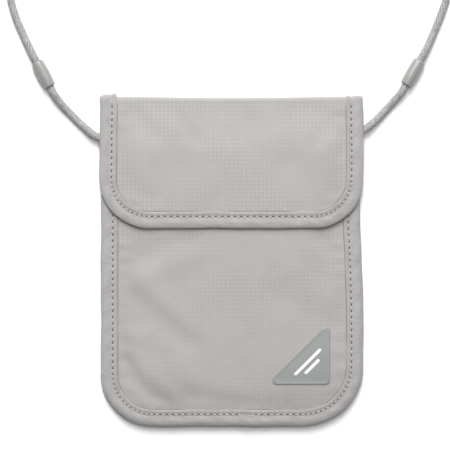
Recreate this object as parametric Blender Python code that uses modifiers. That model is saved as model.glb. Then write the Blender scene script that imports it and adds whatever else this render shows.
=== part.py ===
"""Neck pouch wallet: a flat cloth pouch with a folded-over flap, taped edges and a neck cord.

The pouch lies on its back. X is its width, Y runs from the bottom edge to the top fold and Z is its
thickness. The origin is the middle of the underside. All lengths are in metres.
"""
import math

import bmesh
import bpy
from mathutils import Matrix, Vector

# ---- driving dimensions -------------------------------------------------------------------------
MM = 0.001
WIDTH = 140 * MM
LENGTH = 176.6 * MM
HALF_WIDTH = WIDTH / 2
BOTTOM_Y = -LENGTH / 2
CORNER_RADIUS = 27 * MM
CORNER_STEPS = 8
GAP = 0.3 * MM

# The seam is a flat rim; the belly rises or sinks from it over the ramp.
EDGE_INSET = 1.5 * MM
RIM_WIDTH = 9.5 * MM
BELLY_INSET = 20 * MM
RAMP_STEPS = 3

# The fold over the top edge, and the hinge that the flap turns on.
FOLD_RADIUS = 2.3 * MM
FOLD_THICKNESS = 0.5 * MM
FOLD_Y = LENGTH / 2 - FOLD_RADIUS - FOLD_THICKNESS / 2
FOLD_Z = 5.45 * MM
HINGE_Z = 5.55 * MM
TOP_RAMP = 0.8

# Height of each layer's underside at the seam and over the belly, and its thickness.
CLOTH = 0.5 * MM
LINING = 0.3 * MM
FOIL = 0.2 * MM
BACK_PANEL_Z = (2.85 * MM, 0.0)
BACK_SHIELD_Z = 0.75 * MM
BACK_LINING_Z = (3.6 * MM, 1.2 * MM)
FRONT_LINING_Z = (4.15 * MM, 6.0 * MM)
FRONT_SHIELD_Z = 6.5 * MM
FRONT_PANEL_Z = (4.7 * MM, 7.0 * MM)

# The main pocket's mouth and the zip below it.
MOUTH_Y = 69.5 * MM
ZIP_Y = 57.5 * MM
ZIP_SLOT = 5.0 * MM
ZIP_HALF_LENGTH = 48 * MM
ZIP_TAPE_Z = 6.5 * MM
ZIP_TAPE_THICKNESS = 0.25 * MM
ZIP_TAPE_WIDTH = 5.6 * MM
ZIP_TAPE_SPLIT = 0.35 * MM
COIL_RADIUS = 0.45 * MM
COIL_Z = 7.25 * MM
COIL_OFFSET = 0.85 * MM
STOP_SIZE = (1.6 * MM, 3.4 * MM, 0.6 * MM)
SLIDER_X = 41 * MM
SLIDER_LENGTH = 8.0 * MM
SLIDER_WIDTH = 6.4 * MM
SLIDER_PLATE_Z = 7.95 * MM
SLIDER_PLATE = 0.55 * MM
SLIDER_FLANGE = 0.45 * MM
SLIDER_FLANGE_DROP = 0.9 * MM
SLIDER_POST_RADIUS = 0.7 * MM
SLIDER_POST_HEIGHT = 0.95 * MM
SLIDER_CAP_RADIUS = 1.25 * MM
SLIDER_CAP_HEIGHT = 0.3 * MM
SLIDER_ROUND = 1.6 * MM
SLIDER_FLANGE_LENGTH = 5 * MM
POST_SUNK = 0.1 * MM
PULL_Z = 8.7 * MM
PULL_THICKNESS = 0.3 * MM
PULL_LENGTH = 12 * MM
PULL_WIDTH = 4.2 * MM
PULL_ROUND = 1.9 * MM
PULL_EYE_RADIUS = 1.0 * MM
PULL_EYE_SEGMENTS = 20

# The flap: rim, middle of the lower edge, and belly.
FLAP_BOTTOM_Y = 17.6 * MM
FLAP_CORNER_RADIUS = 26 * MM
FLAP_CORNER_STEPS = 12
FLAP_OUTER_Z = (7.5 * MM, 9.05 * MM, 10.4 * MM)
FLAP_LINING_Z = (6.95 * MM, 8.5 * MM, 9.85 * MM)

# Binding tape: a channel folded round the raw edges.
TAPE = 0.5 * MM
TAPE_REACH = 9.0 * MM
TAPE_ROUND = 0.9 * MM
BODY_TAPE_Z = (2.1 * MM, 5.95 * MM)
FLAP_TAPE_Z = (6.2 * MM, 8.75 * MM)
FLAP_TAPE_LIFT = 1.55 * MM

# Hook and loop strips, badge and bar tacks.
STRIP_Y = 44 * MM
STRIP_SIZE = (76 * MM, 11 * MM)
STRIP_ROUND = 1.5 * MM
LOOP_Z = (7.75 * MM, 8.4 * MM)
HOOK_Z = (8.75 * MM, 9.55 * MM)
BADGE_CORNER = (52.7 * MM, -66.4 * MM)
BADGE_LEGS = (34.6 * MM, 34.7 * MM)
BADGE_ROUND = 2.6 * MM
BADGE_Z = (7.8 * MM, 8.2 * MM)
TACK_SIZE = (7.5 * MM, 2.0 * MM, 0.4 * MM)
TACK_Z = 1.4 * MM

# Neck cord, its beads and its coil.
CORD_RADIUS = 2.0 * MM
CORD_SIDES = 2
CORD_POINT_STEP = 9 * MM
BEAD_LENGTH = 15 * MM
BEAD_RADIUS = 3.7 * MM
BEAD_END_RADIUS = 2.9 * MM
BEAD_BORE = 2.4 * MM
BEAD_Z = 3.8 * MM
BEAD_SEGMENTS = 24
LEFT_BEAD = (-100.7 * MM, 100.2 * MM)
LEFT_BEAD_AIM = (-0.472, 0.882)
RIGHT_BEAD = (96.8 * MM, 100.9 * MM)
RIGHT_BEAD_AIM = (0.5, 0.866)
COIL_CENTRE = (0.0, 195 * MM)
COIL_TURN_RADII = (18 * MM, 26 * MM)
COIL_LAYER_Z = (2.9 * MM, 6.9 * MM)
COIL_ROUND = 1.6 * MM
COIL_SEGMENTS = 40
TIE_WIDTH = 7 * MM
TIE_THICKNESS = 0.5 * MM
TIE_ROUND = 1.5 * MM
TIE_SLACK = 0.4 * MM

# The cord's route from each side seam to the coil, chosen by hand, in millimetres.
LEFT_ROUTE = [
    (-71.5, 66.5, 4.0),
    (-74.8, 68.4, 3.7),
    (-78.3, 71.5, 2.9),
    (-82.0, 74.7, 2.3),
    (-86.9, 79.7, 2.2),
    (-91.6, 84.8, 2.9),
    (-95.04, 89.62, 3.75),
    (-97.16, 93.59, 3.8),
    (-100.7, 100.2, 3.8),
    (-104.24, 106.81, 3.8),
    (-106.36, 110.78, 3.75),
    (-108.9, 115.8, 3.0),
    (-111.9, 122.2, 2.2),
    (-115.6, 131.0, 2.1),
    (-118.4, 141.0, 2.1),
    (-119.0, 152.0, 2.1),
    (-115.5, 165.0, 2.1),
    (-107.0, 179.0, 2.1),
    (-94.0, 192.0, 2.1),
    (-77.0, 203.5, 2.1),
    (-57.0, 213.5, 2.1),
    (-37.0, 219.4, 2.2),
    (-15.5, 221.0, 2.9),
]
RIGHT_ROUTE = [
    (71.7, 70.9, 4.0),
    (74.0, 72.8, 3.7),
    (77.2, 75.6, 2.9),
    (80.8, 79.3, 2.3),
    (84.4, 83.2, 2.2),
    (88.0, 87.2, 2.9),
    (90.8, 90.51, 3.75),
    (93.05, 94.4, 3.8),
    (96.8, 100.9, 3.8),
    (100.55, 107.4, 3.8),
    (102.8, 111.29, 3.75),
    (105.3, 116.2, 3.0),
    (108.0, 122.2, 2.2),
    (111.6, 131.0, 2.1),
    (114.9, 141.0, 2.1),
    (116.2, 152.0, 2.1),
    (113.5, 165.0, 2.1),
    (105.7, 179.0, 2.1),
    (93.0, 192.0, 2.2),
    (76.4, 203.5, 3.0),
    (56.8, 213.3, 4.6),
    (37.0, 219.2, 6.2),
    (15.5, 221.0, 6.9),
]

# Finishes: colour, roughness, metallic.
FINISHES = {
    "shell_cloth": ((0.50, 0.49, 0.48), 0.75, 0.0),
    "lining_cloth": ((0.42, 0.42, 0.43), 0.7, 0.0),
    "shield_foil": ((0.62, 0.62, 0.64), 0.35, 0.9),
    "binding_tape": ((0.52, 0.51, 0.50), 0.8, 0.0),
    "badge_rubber": ((0.30, 0.33, 0.31), 0.5, 0.0),
    "hook_and_loop": ((0.45, 0.45, 0.45), 0.9, 0.0),
    "zip_tape": ((0.44, 0.43, 0.42), 0.85, 0.0),
    "zip_plastic": ((0.36, 0.36, 0.36), 0.45, 0.0),
    "zip_metal": ((0.40, 0.40, 0.41), 0.35, 1.0),
    "thread": ((0.38, 0.37, 0.36), 0.7, 0.0),
    "cord_braid": ((0.48, 0.48, 0.48), 0.8, 0.0),
    "bead_plastic": ((0.30, 0.30, 0.30), 0.4, 0.0),
}


# ---- scene, materials and small helpers ---------------------------------------------------------
def clear_scene():
    for obj in list(bpy.data.objects):
        bpy.data.objects.remove(obj, do_unlink=True)


def new_collection(name):
    group = bpy.data.collections.new(name)
    bpy.context.scene.collection.children.link(group)
    return group


def make_finish(name):
    colour, roughness, metallic = FINISHES[name]
    finish = bpy.data.materials.new(name)
    finish.use_nodes = True
    shader = finish.node_tree.nodes["Principled BSDF"]
    shader.inputs["Base Color"].default_value = (*colour, 1.0)
    shader.inputs["Roughness"].default_value = roughness
    shader.inputs["Metallic"].default_value = metallic
    finish.diffuse_color = (*colour, 1.0)
    return finish


def add_part(name, data, finish, place=(0.0, 0.0, 0.0)):
    """Put finished mesh or curve data into the part's collection with its finish."""
    obj = bpy.data.objects.new(name, data)
    obj.location = place
    PARTS.objects.link(obj)
    data.materials.append(MATERIALS[finish])
    return obj


def mesh_from(bm, name):
    """Close a bmesh into mesh data with its faces pointing outwards."""
    bmesh.ops.recalc_face_normals(bm, faces=bm.faces)
    mesh = bpy.data.meshes.new(name)
    bm.to_mesh(mesh)
    bm.free()
    return mesh


def smooth_step(value):
    value = min(max(value, 0.0), 1.0)
    return value * value * (3 - 2 * value)


def ramp(inset):
    """0 on the seam's rim and 1 over the belly."""
    return smooth_step((inset - RIM_WIDTH) / (BELLY_INSET - RIM_WIDTH))


def blend(pair, share):
    return pair[0] + share * (pair[1] - pair[0])


def ramp_insets():
    """Insets of the rings that shape a layer: the edge, the rim's inner side, then the ramp."""
    step = (BELLY_INSET - RIM_WIDTH) / RAMP_STEPS
    return [EDGE_INSET] + [RIM_WIDTH + step * k for k in range(RAMP_STEPS + 1)]


# ---- outlines and lofts -------------------------------------------------------------------------
def side_and_bottom(inset, top, bottom=BOTTOM_Y, radius=CORNER_RADIUS, steps=CORNER_STEPS):
    """Points down the right side, round the two lower corners and up the left side."""
    half = HALF_WIDTH - inset
    low = bottom + inset
    turn = radius - inset
    right = [
        (half - turn + turn * math.cos(a), low + turn - turn * math.sin(a))
        for a in (math.pi / 2 * k / steps for k in range(steps + 1))
    ]
    left = [(-x, y) for x, y in reversed(right)]
    return [(half, top)] + right + left + [(-half, top)]


def bridge(bm, first, second, closed):
    """Quads between two rows with the same number of points."""
    count = len(first)
    for k in range(count if closed else count - 1):
        after = (k + 1) % count
        bm.faces.new((first[k], first[after], second[after], second[k]))


def add_row(bm, outline, height):
    return [bm.verts.new((x, y, height(x, y))) for x, y in outline]


def pillow(name, finish, outlines, heights, thickness):
    """A closed layer: nested outlines at their own heights, given a thickness and filled in."""
    bm = bmesh.new()
    top = [add_row(bm, o, lambda x, y, h=h: h(x, y) + thickness) for o, h in zip(outlines, heights)]
    low = [add_row(bm, o, h) for o, h in zip(outlines, heights)]
    rows = top[::-1] + low
    for first, second in zip(rows, rows[1:]):
        bridge(bm, first, second, closed=True)
    bm.faces.new(rows[0])
    bm.faces.new(rows[-1])
    return add_part(name, mesh_from(bm, name), finish)


def mouth_tray(name, finish, mouth, heights, thickness):
    """A layer that is open at its top edge, where it stands at the belly's height."""
    bm = bmesh.new()
    outlines = [side_and_bottom(inset, mouth) for inset in ramp_insets()]
    top = [add_row(bm, o, lambda x, y, h=h: h + thickness) for o, h in zip(outlines, heights)]
    low = [add_row(bm, o, lambda x, y, h=h: h) for o, h in zip(outlines, heights)]
    rows = top[::-1] + low
    for first, second in zip(rows, rows[1:]):
        bridge(bm, first, second, closed=False)
    bm.faces.new(rows[0])
    bm.faces.new(rows[-1])
    bm.faces.new([row[0] for row in rows] + [row[-1] for row in reversed(rows)])
    return add_part(name, mesh_from(bm, name), finish)


def ramped(pair):
    """Heights of a layer's rings, from its seam height and its belly height."""
    return [blend(pair, ramp(inset)) for inset in ramp_insets()]


def taped_edge(name, finish, outline_at, low, high):
    """Binding tape: a U profile, open inwards, carried along the sides and the lower edge."""
    profile = [
        (TAPE_REACH, 0, 0.0),
        (TAPE_ROUND, 0, 0.0),
        (0.0, 0, TAPE_ROUND),
        (0.0, 1, -TAPE_ROUND),
        (TAPE_ROUND, 1, 0.0),
        (TAPE_REACH, 1, 0.0),
        (TAPE_REACH, 1, -TAPE),
        (TAPE_ROUND + TAPE / 2, 1, -TAPE),
        (TAPE, 1, -TAPE_ROUND - TAPE / 2),
        (TAPE, 0, TAPE_ROUND + TAPE / 2),
        (TAPE_ROUND + TAPE / 2, 0, TAPE),
        (TAPE_REACH, 0, TAPE),
    ]
    sides = (low, high)
    bm = bmesh.new()
    rows = [
        add_row(bm, outline_at(inset), lambda x, y, s=sides[side], r=rise: s(x, y) + r)
        for inset, side, rise in profile
    ]
    for first, second in zip(rows, rows[1:] + rows[:1]):
        bridge(bm, first, second, closed=False)
    bm.faces.new([row[0] for row in rows])
    bm.faces.new([row[-1] for row in rows])
    return add_part(name, mesh_from(bm, name), finish)


def rounded_outline(corners, radius, steps=4):
    """A polygon's corners, listed anticlockwise, each rounded by an arc."""
    points = []
    count = len(corners)
    for k in range(count):
        here = Vector(corners[k])
        before = (Vector(corners[k - 1]) - here).normalized()
        after = (Vector(corners[(k + 1) % count]) - here).normalized()
        half_angle = before.angle(after) / 2
        centre = here + (before + after).normalized() * (radius / math.sin(half_angle))
        start = here + before * (radius / math.tan(half_angle)) - centre
        turn = math.pi - 2 * half_angle
        for n in range(steps + 1):
            spin = Matrix.Rotation(turn * n / steps, 2)
            points.append(centre + spin @ start)
    return points


def rectangle(width, depth):
    x, y = width / 2, depth / 2
    return [(-x, -y), (x, -y), (x, y), (-x, y)]


def flat_plate(name, finish, outlines, thickness, place, turn=(0.0, 0.0, 0.0)):
    """A flat piece: filled outlines, the later ones being holes, extruded both ways."""
    curve = bpy.data.curves.new(name, "CURVE")
    curve.dimensions = "2D"
    curve.fill_mode = "BOTH"
    curve.extrude = thickness / 2
    for points in outlines:
        spline = curve.splines.new("POLY")
        spline.points.add(len(points) - 1)
        for point, (x, y) in zip(spline.points, points):
            point.co = (x, y, 0.0, 1.0)
        spline.use_cyclic_u = True
    obj = add_part(name, curve, finish, place)
    obj.rotation_euler = turn
    return obj


def layer_plate(name, finish, outline, z_range, centre=(0.0, 0.0)):
    low, high = z_range
    return flat_plate(name, finish, [outline], high - low, (*centre, (low + high) / 2))


def block(bm, size, centre):
    """Add a box of the given size to a bmesh."""
    matrix = Matrix.Translation(centre) @ Matrix.Diagonal((*size, 1.0))
    bmesh.ops.create_cube(bm, size=1.0, matrix=matrix)


def single_block(name, finish, size, centre):
    bm = bmesh.new()
    block(bm, size, (0.0, 0.0, 0.0))
    return add_part(name, mesh_from(bm, name), finish, centre)


def union_of(name, finish, shapes, place):
    """Join closed shapes, each built by its own function, into one body."""
    objects = []
    for k, shape in enumerate(shapes):
        bm = bmesh.new()
        shape(bm)
        holder = GUIDES if k else PARTS
        data = mesh_from(bm, f"{name}_{k}")
        obj = bpy.data.objects.new(name if k == 0 else f"{name}_joiner_{k}", data)
        obj.location = place
        holder.objects.link(obj)
        objects.append(obj)
    base = objects[0]
    base.data.materials.append(MATERIALS[finish])
    for joiner in objects[1:]:
        joiner.display_type = "WIRE"
        joiner.hide_render = True
        joined = base.modifiers.new(joiner.name, "BOOLEAN")
        joined.operation = "UNION"
        joined.solver = "EXACT"
        joined.object = joiner
    return base


# ---- body ---------------------------------------------------------------------------------------
def closed_outline(inset):
    """Outline of a layer that closes all round: the top side comes in less than the others."""
    return side_and_bottom(inset, FOLD_Y - GAP - TOP_RAMP * (inset - EDGE_INSET))


def make_back():
    outlines = [closed_outline(inset) for inset in ramp_insets()]
    heights = [lambda x, y, h=h: h for h in ramped(BACK_PANEL_Z)]
    pillow("back_panel", "shell_cloth", outlines, heights, CLOTH)
    heights = [lambda x, y, h=h: h for h in ramped(BACK_LINING_Z)]
    pillow("back_lining", "lining_cloth", outlines, heights, LINING)
    shield = side_and_bottom(BELLY_INSET + GAP, MOUTH_Y - GAP)
    layer_plate("back_shield", "shield_foil", shield[::-1], (BACK_SHIELD_Z, BACK_SHIELD_Z + FOIL))


def make_front():
    zip_low = ZIP_Y - ZIP_SLOT / 2
    mouth_tray("front_lining", "lining_cloth", MOUTH_Y, ramped(FRONT_LINING_Z), LINING)
    mouth_tray("front_panel", "shell_cloth", zip_low, ramped(FRONT_PANEL_Z), CLOTH)
    shield = side_and_bottom(BELLY_INSET + GAP, ZIP_Y - ZIP_TAPE_WIDTH - 2 * GAP)
    layer_plate("front_shield", "shield_foil", shield[::-1], (FRONT_SHIELD_Z, FRONT_SHIELD_Z + FOIL))
    make_yoke(ZIP_Y + ZIP_SLOT / 2)


def make_yoke(low_y):
    """The strip of cloth between the zip and the pocket's mouth: an arched band."""
    heights = ramped(FRONT_PANEL_Z)
    right = [(HALF_WIDTH - inset, h) for inset, h in zip(ramp_insets(), heights)]
    under = right + [(-x, h) for x, h in reversed(right)]
    over = [(x, h + CLOTH) for x, h in reversed(under)]
    bm = bmesh.new()
    rows = [[bm.verts.new((x, y, h)) for x, h in under + over] for y in (low_y, MOUTH_Y)]
    bridge(bm, rows[0], rows[1], closed=True)
    bm.faces.new(rows[0])
    bm.faces.new(rows[1])
    add_part("front_yoke", mesh_from(bm, "front_yoke"), "shell_cloth")


def make_body_tape():
    top = FOLD_Y - GAP
    low, high = BODY_TAPE_Z
    taped_edge(
        "body_binding",
        "binding_tape",
        lambda inset: side_and_bottom(inset, top),
        lambda x, y: low,
        lambda x, y: high,
    )


def make_fold():
    """The cloth where it turns over the top edge: half a tube as wide as the pouch."""
    steps = 10
    arc = [math.pi * (k / steps - 0.5) for k in range(steps + 1)]
    outer = FOLD_RADIUS + FOLD_THICKNESS / 2
    inner = FOLD_RADIUS - FOLD_THICKNESS / 2
    profile = [(FOLD_Y + outer * math.cos(a), FOLD_Z + outer * math.sin(a)) for a in arc]
    profile += [(FOLD_Y + inner * math.cos(a), FOLD_Z + inner * math.sin(a)) for a in reversed(arc)]
    bm = bmesh.new()
    rows = [[bm.verts.new((x, y, z)) for y, z in profile] for x in (-HALF_WIDTH, HALF_WIDTH)]
    bridge(bm, rows[0], rows[1], closed=True)
    bm.faces.new(rows[0])
    bm.faces.new(rows[1])
    add_part("flap_fold", mesh_from(bm, "flap_fold"), "shell_cloth")


def make_trim():
    outline = rounded_outline(rectangle(*STRIP_SIZE), STRIP_ROUND)
    layer_plate("loop_strip", "hook_and_loop", outline, LOOP_Z, (0.0, STRIP_Y))
    corner_x, corner_y = BADGE_CORNER
    across, up = BADGE_LEGS
    corners = [(corner_x - across, corner_y), (corner_x, corner_y), (corner_x, corner_y + up)]
    layer_plate("badge", "badge_rubber", rounded_outline(corners, BADGE_ROUND, 5), BADGE_Z)
    for side, route in (("left", LEFT_ROUTE), ("right", RIGHT_ROUTE)):
        seam_x, seam_y = route[0][0] * MM, route[0][1] * MM
        inwards = -math.copysign(TAPE_REACH / 2, seam_x)
        centre = (seam_x + inwards, seam_y, TACK_Z + TACK_SIZE[2] / 2)
        single_block(f"cord_tack_{side}", "thread", TACK_SIZE, centre)


# ---- zip ----------------------------------------------------------------------------------------
def make_zip():
    length = 2 * ZIP_HALF_LENGTH
    middle_z = ZIP_TAPE_Z + ZIP_TAPE_THICKNESS / 2
    for side, sign in (("upper", 1), ("lower", -1)):
        shift = sign * (ZIP_TAPE_SPLIT + ZIP_TAPE_WIDTH) / 2
        size = (length, ZIP_TAPE_WIDTH, ZIP_TAPE_THICKNESS)
        single_block(f"zip_tape_{side}", "zip_tape", size, (0.0, ZIP_Y + shift, middle_z))
        make_zip_coil(f"zip_coil_{side}", ZIP_Y + sign * COIL_OFFSET)
    for side, sign in (("right", 1), ("left", -1)):
        place = (sign * (ZIP_HALF_LENGTH - STOP_SIZE[0] / 2), ZIP_Y, COIL_Z + STOP_SIZE[2] / 4)
        single_block(f"zip_stop_{side}", "zip_metal", STOP_SIZE, place)
    make_slider()
    make_pull()


def make_zip_coil(name, y):
    """One side of the closed coil, simplified to a rod between the two stops."""
    bm = bmesh.new()
    reach = 2 * (ZIP_HALF_LENGTH - STOP_SIZE[0] - GAP)
    turn = Matrix.Rotation(math.pi / 2, 4, "Y")
    bmesh.ops.create_cone(
        bm, cap_ends=True, segments=12, radius1=COIL_RADIUS, radius2=COIL_RADIUS, depth=reach, matrix=turn
    )
    add_part(name, mesh_from(bm, name), "zip_plastic", (0.0, y, COIL_Z))


def make_slider():
    """A plate with two side flanges over the coils and a headed post that holds the pull."""
    flange_y = (ZIP_SLOT - SLIDER_FLANGE - GAP) / 2
    flange_height = SLIDER_FLANGE_DROP + SLIDER_PLATE / 2
    flange_z = SLIDER_PLATE / 2 - flange_height / 2
    post_z = SLIDER_PLATE / 2 + SLIDER_POST_HEIGHT / 2
    cap_z = SLIDER_PLATE / 2 + SLIDER_POST_HEIGHT - SLIDER_CAP_HEIGHT / 2

    def plate(bm):
        outline = rounded_outline(rectangle(SLIDER_LENGTH, SLIDER_WIDTH), SLIDER_ROUND, 3)
        lower = [bm.verts.new((p.x, p.y, -SLIDER_PLATE / 2)) for p in outline]
        upper = [bm.verts.new((p.x, p.y, SLIDER_PLATE / 2)) for p in outline]
        bridge(bm, lower, upper, closed=True)
        bm.faces.new(lower)
        bm.faces.new(upper)

    def flange(sign):
        size = (SLIDER_FLANGE_LENGTH, SLIDER_FLANGE, flange_height)
        return lambda bm: block(bm, size, (0.0, sign * flange_y, flange_z))

    def drum(radius, height, z):
        return lambda bm: bmesh.ops.create_cone(
            bm,
            cap_ends=True,
            segments=20,
            radius1=radius,
            radius2=radius,
            depth=height,
            matrix=Matrix.Translation((0.0, 0.0, z)),
        )

    shapes = [
        plate,
        flange(1),
        flange(-1),
        drum(SLIDER_POST_RADIUS, SLIDER_POST_HEIGHT + POST_SUNK, post_z - POST_SUNK / 2),
        drum(SLIDER_CAP_RADIUS, SLIDER_CAP_HEIGHT, cap_z),
    ]
    place = (SLIDER_X, ZIP_Y, SLIDER_PLATE_Z + SLIDER_PLATE / 2)
    union_of("zip_slider", "zip_metal", shapes, place)


def make_pull():
    """A flat tab with an eye round the slider's post; its origin is the post's axis."""
    far = -PULL_LENGTH + PULL_WIDTH / 2
    near = PULL_WIDTH / 2
    half = PULL_WIDTH / 2
    outline = rounded_outline([(far, -half), (near, -half), (near, half), (far, half)], PULL_ROUND, 5)
    turns = [2 * math.pi * k / PULL_EYE_SEGMENTS for k in range(PULL_EYE_SEGMENTS)]
    eye = [(PULL_EYE_RADIUS * math.cos(a), PULL_EYE_RADIUS * math.sin(a)) for a in turns]
    place = (SLIDER_X, ZIP_Y, PULL_Z + PULL_THICKNESS / 2)
    flat_plate("zip_pull", "zip_metal", [outline, eye], PULL_THICKNESS, place)


# ---- flap ---------------------------------------------------------------------------------------
def flap_height(levels, inset):
    """Height of a flap layer's ring: low along the sides, raised over the belly, lower at its hem."""
    rim, hem, belly = levels
    raised = blend((hem, belly), ramp(inset))

    def height(x, y):
        side = ramp(HALF_WIDTH - abs(x))
        fold = ramp(EDGE_INSET + (FOLD_Y - GAP - y) / TOP_RAMP)
        return blend((rim, raised), side * fold)

    return height


def flap_outline(inset, top):
    return side_and_bottom(inset, top, FLAP_BOTTOM_Y, FLAP_CORNER_RADIUS, FLAP_CORNER_STEPS)


def make_flap():
    top = FOLD_Y - GAP
    outlines = [flap_outline(inset, top - TOP_RAMP * (inset - EDGE_INSET)) for inset in ramp_insets()]
    heights = [flap_height(FLAP_OUTER_Z, inset) for inset in ramp_insets()]
    flap_hinged(pillow("flap_outer", "shell_cloth", outlines, heights, CLOTH))
    heights = [flap_height(FLAP_LINING_Z, inset) for inset in ramp_insets()]
    flap_hinged(pillow("flap_lining", "lining_cloth", outlines, heights, LINING))
    low, high = FLAP_TAPE_Z

    def rise(x):
        return FLAP_TAPE_LIFT * ramp(HALF_WIDTH - abs(x))

    tape = taped_edge(
        "flap_binding",
        "binding_tape",
        lambda inset: flap_outline(inset, top),
        lambda x, y: low + rise(x),
        lambda x, y: high + rise(x),
    )
    flap_hinged(tape)
    strip = rounded_outline(rectangle(*STRIP_SIZE), STRIP_ROUND)
    flap_hinged(layer_plate("hook_strip", "hook_and_loop", strip, HOOK_Z, (0.0, STRIP_Y)))


def flap_hinged(obj):
    """Parent a flap piece to the empty on the hinge's axis, keeping its place."""
    obj.parent = HINGE
    obj.matrix_parent_inverse = Matrix.Translation(-HINGE.location)


# ---- neck cord ----------------------------------------------------------------------------------
def smooth_route(points):
    """Points along a Catmull-Rom curve through the route, about one every CORD_POINT_STEP."""
    knots = [Vector(p) * MM for p in points]
    ghost_start = 2 * knots[0] - knots[1]
    ghost_end = 2 * knots[-1] - knots[-2]
    padded = [ghost_start] + knots + [ghost_end]
    dense = []
    fine = 12
    for k in range(1, len(padded) - 2):
        p0, p1, p2, p3 = padded[k - 1 : k + 3]
        for n in range(fine):
            t = n / fine
            along = 2 * p1 + (p2 - p0) * t
            bend = (2 * p0 - 5 * p1 + 4 * p2 - p3) * t * t
            twist = (3 * p1 - p0 - 3 * p2 + p3) * t * t * t
            dense.append((along + bend + twist) / 2)
    dense.append(knots[-1])
    lengths = [0.0]
    for a, b in zip(dense, dense[1:]):
        lengths.append(lengths[-1] + (b - a).length)
    count = round(lengths[-1] / CORD_POINT_STEP)
    picked = []
    k = 0
    for n in range(count + 1):
        target = lengths[-1] * n / count
        while k < len(lengths) - 2 and lengths[k + 1] < target:
            k += 1
        share = (target - lengths[k]) / (lengths[k + 1] - lengths[k])
        picked.append(dense[k].lerp(dense[k + 1], min(share, 1.0)))
    return picked


def make_cord(name, route):
    curve = bpy.data.curves.new(name, "CURVE")
    curve.dimensions = "3D"
    curve.bevel_depth = CORD_RADIUS
    curve.bevel_resolution = CORD_SIDES
    curve.use_fill_caps = True
    points = smooth_route(route)
    spline = curve.splines.new("POLY")
    spline.points.add(len(points) - 1)
    for point, place in zip(spline.points, points):
        point.co = (*place, 1.0)
    add_part(name, curve, "cord_braid")


def turned(name, finish, profile, segments, place, turn):
    """A closed profile, listed down its outer side first, turned about Z by a Screw modifier."""
    bm = bmesh.new()
    ring = [bm.verts.new((r, 0.0, z)) for r, z in profile]
    for a, b in zip(ring, ring[1:] + ring[:1]):
        bm.edges.new((a, b))
    mesh = bpy.data.meshes.new(name)
    bm.to_mesh(mesh)
    bm.free()
    obj = add_part(name, mesh, finish, place)
    obj.rotation_euler = turn
    screw = obj.modifiers.new("turned", "SCREW")
    screw.steps = segments
    screw.render_steps = segments
    screw.use_merge_vertices = True
    screw.merge_threshold = 0.00001
    return obj


def make_beads():
    """Barrel beads, each on its stretch of cord and turned along it."""
    half = BEAD_LENGTH / 2
    arc = [math.pi * (0.5 - k / 8) for k in range(9)]
    belly = BEAD_RADIUS - BEAD_END_RADIUS
    profile = [(BEAD_END_RADIUS + belly * math.cos(a), half * math.sin(a)) for a in arc]
    profile += [(BEAD_BORE, -half), (BEAD_BORE, half)]
    for side, (x, y), (aim_x, aim_y) in (
        ("left", LEFT_BEAD, LEFT_BEAD_AIM),
        ("right", RIGHT_BEAD, RIGHT_BEAD_AIM),
    ):
        turn = Vector((aim_x, aim_y, 0.0)).to_track_quat("Z", "Y").to_euler()
        turned(f"{side}_bead", "bead_plastic", profile, BEAD_SEGMENTS, (x, y, BEAD_Z), turn)


def make_coil():
    """The stored part of the cord: the outer shape of its turns, held by a tie."""
    inner = COIL_TURN_RADII[0] - CORD_RADIUS
    outer = COIL_TURN_RADII[1] + CORD_RADIUS
    low = COIL_LAYER_Z[0] - CORD_RADIUS
    high = COIL_LAYER_Z[1] + CORD_RADIUS
    corners = [(inner, low), (outer, low), (outer, high), (inner, high)]
    profile = [(p.x, p.y) for p in rounded_outline(corners, COIL_ROUND, 2)]
    place = (*COIL_CENTRE, 0.0)
    turned("neck_cord_coil", "cord_braid", profile[::-1], COIL_SEGMENTS, place, (0.0, 0.0, 0.0))
    depth = outer - inner + 2 * (GAP + TIE_THICKNESS + TIE_SLACK)
    height = high - low + 2 * (GAP + TIE_THICKNESS)
    band = rounded_outline(rectangle(depth, height), TIE_ROUND)
    hole = rounded_outline(rectangle(depth - 2 * TIE_THICKNESS, height - 2 * TIE_THICKNESS), TIE_ROUND / 2)
    middle = (COIL_CENTRE[0], COIL_CENTRE[1] - (inner + outer) / 2, (low + high) / 2)
    flat_plate("cord_tie", "hook_and_loop", [band, hole], TIE_WIDTH, middle, (math.pi / 2, 0.0, math.pi / 2))


# ---- build --------------------------------------------------------------------------------------
clear_scene()
PARTS = new_collection("neck_pouch_wallet")
GUIDES = new_collection("joiners")
MATERIALS = {name: make_finish(name) for name in FINISHES}
HINGE = bpy.data.objects.new("flap_hinge_axis", None)
HINGE.location = (0.0, FOLD_Y, HINGE_Z)
PARTS.objects.link(HINGE)

make_back()
make_front()
make_body_tape()
make_fold()
make_trim()
make_zip()
make_flap()
make_cord("neck_cord_left", LEFT_ROUTE)
make_cord("neck_cord_right", RIGHT_ROUTE)
make_beads()
make_coil()
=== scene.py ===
# %% [markdown]
# # A neck pouch wallet
# A flat travel pouch of light ripstop nylon hangs from a braided cord round the neck. Its edges are
# bound with folded tape, a flap closes the front, and a moulded badge sits in one lower corner.
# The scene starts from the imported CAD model, which says where every piece is. Numbers are in
# millimetres, and MM turns them into Blender's metres when a mesh is made.

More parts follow.
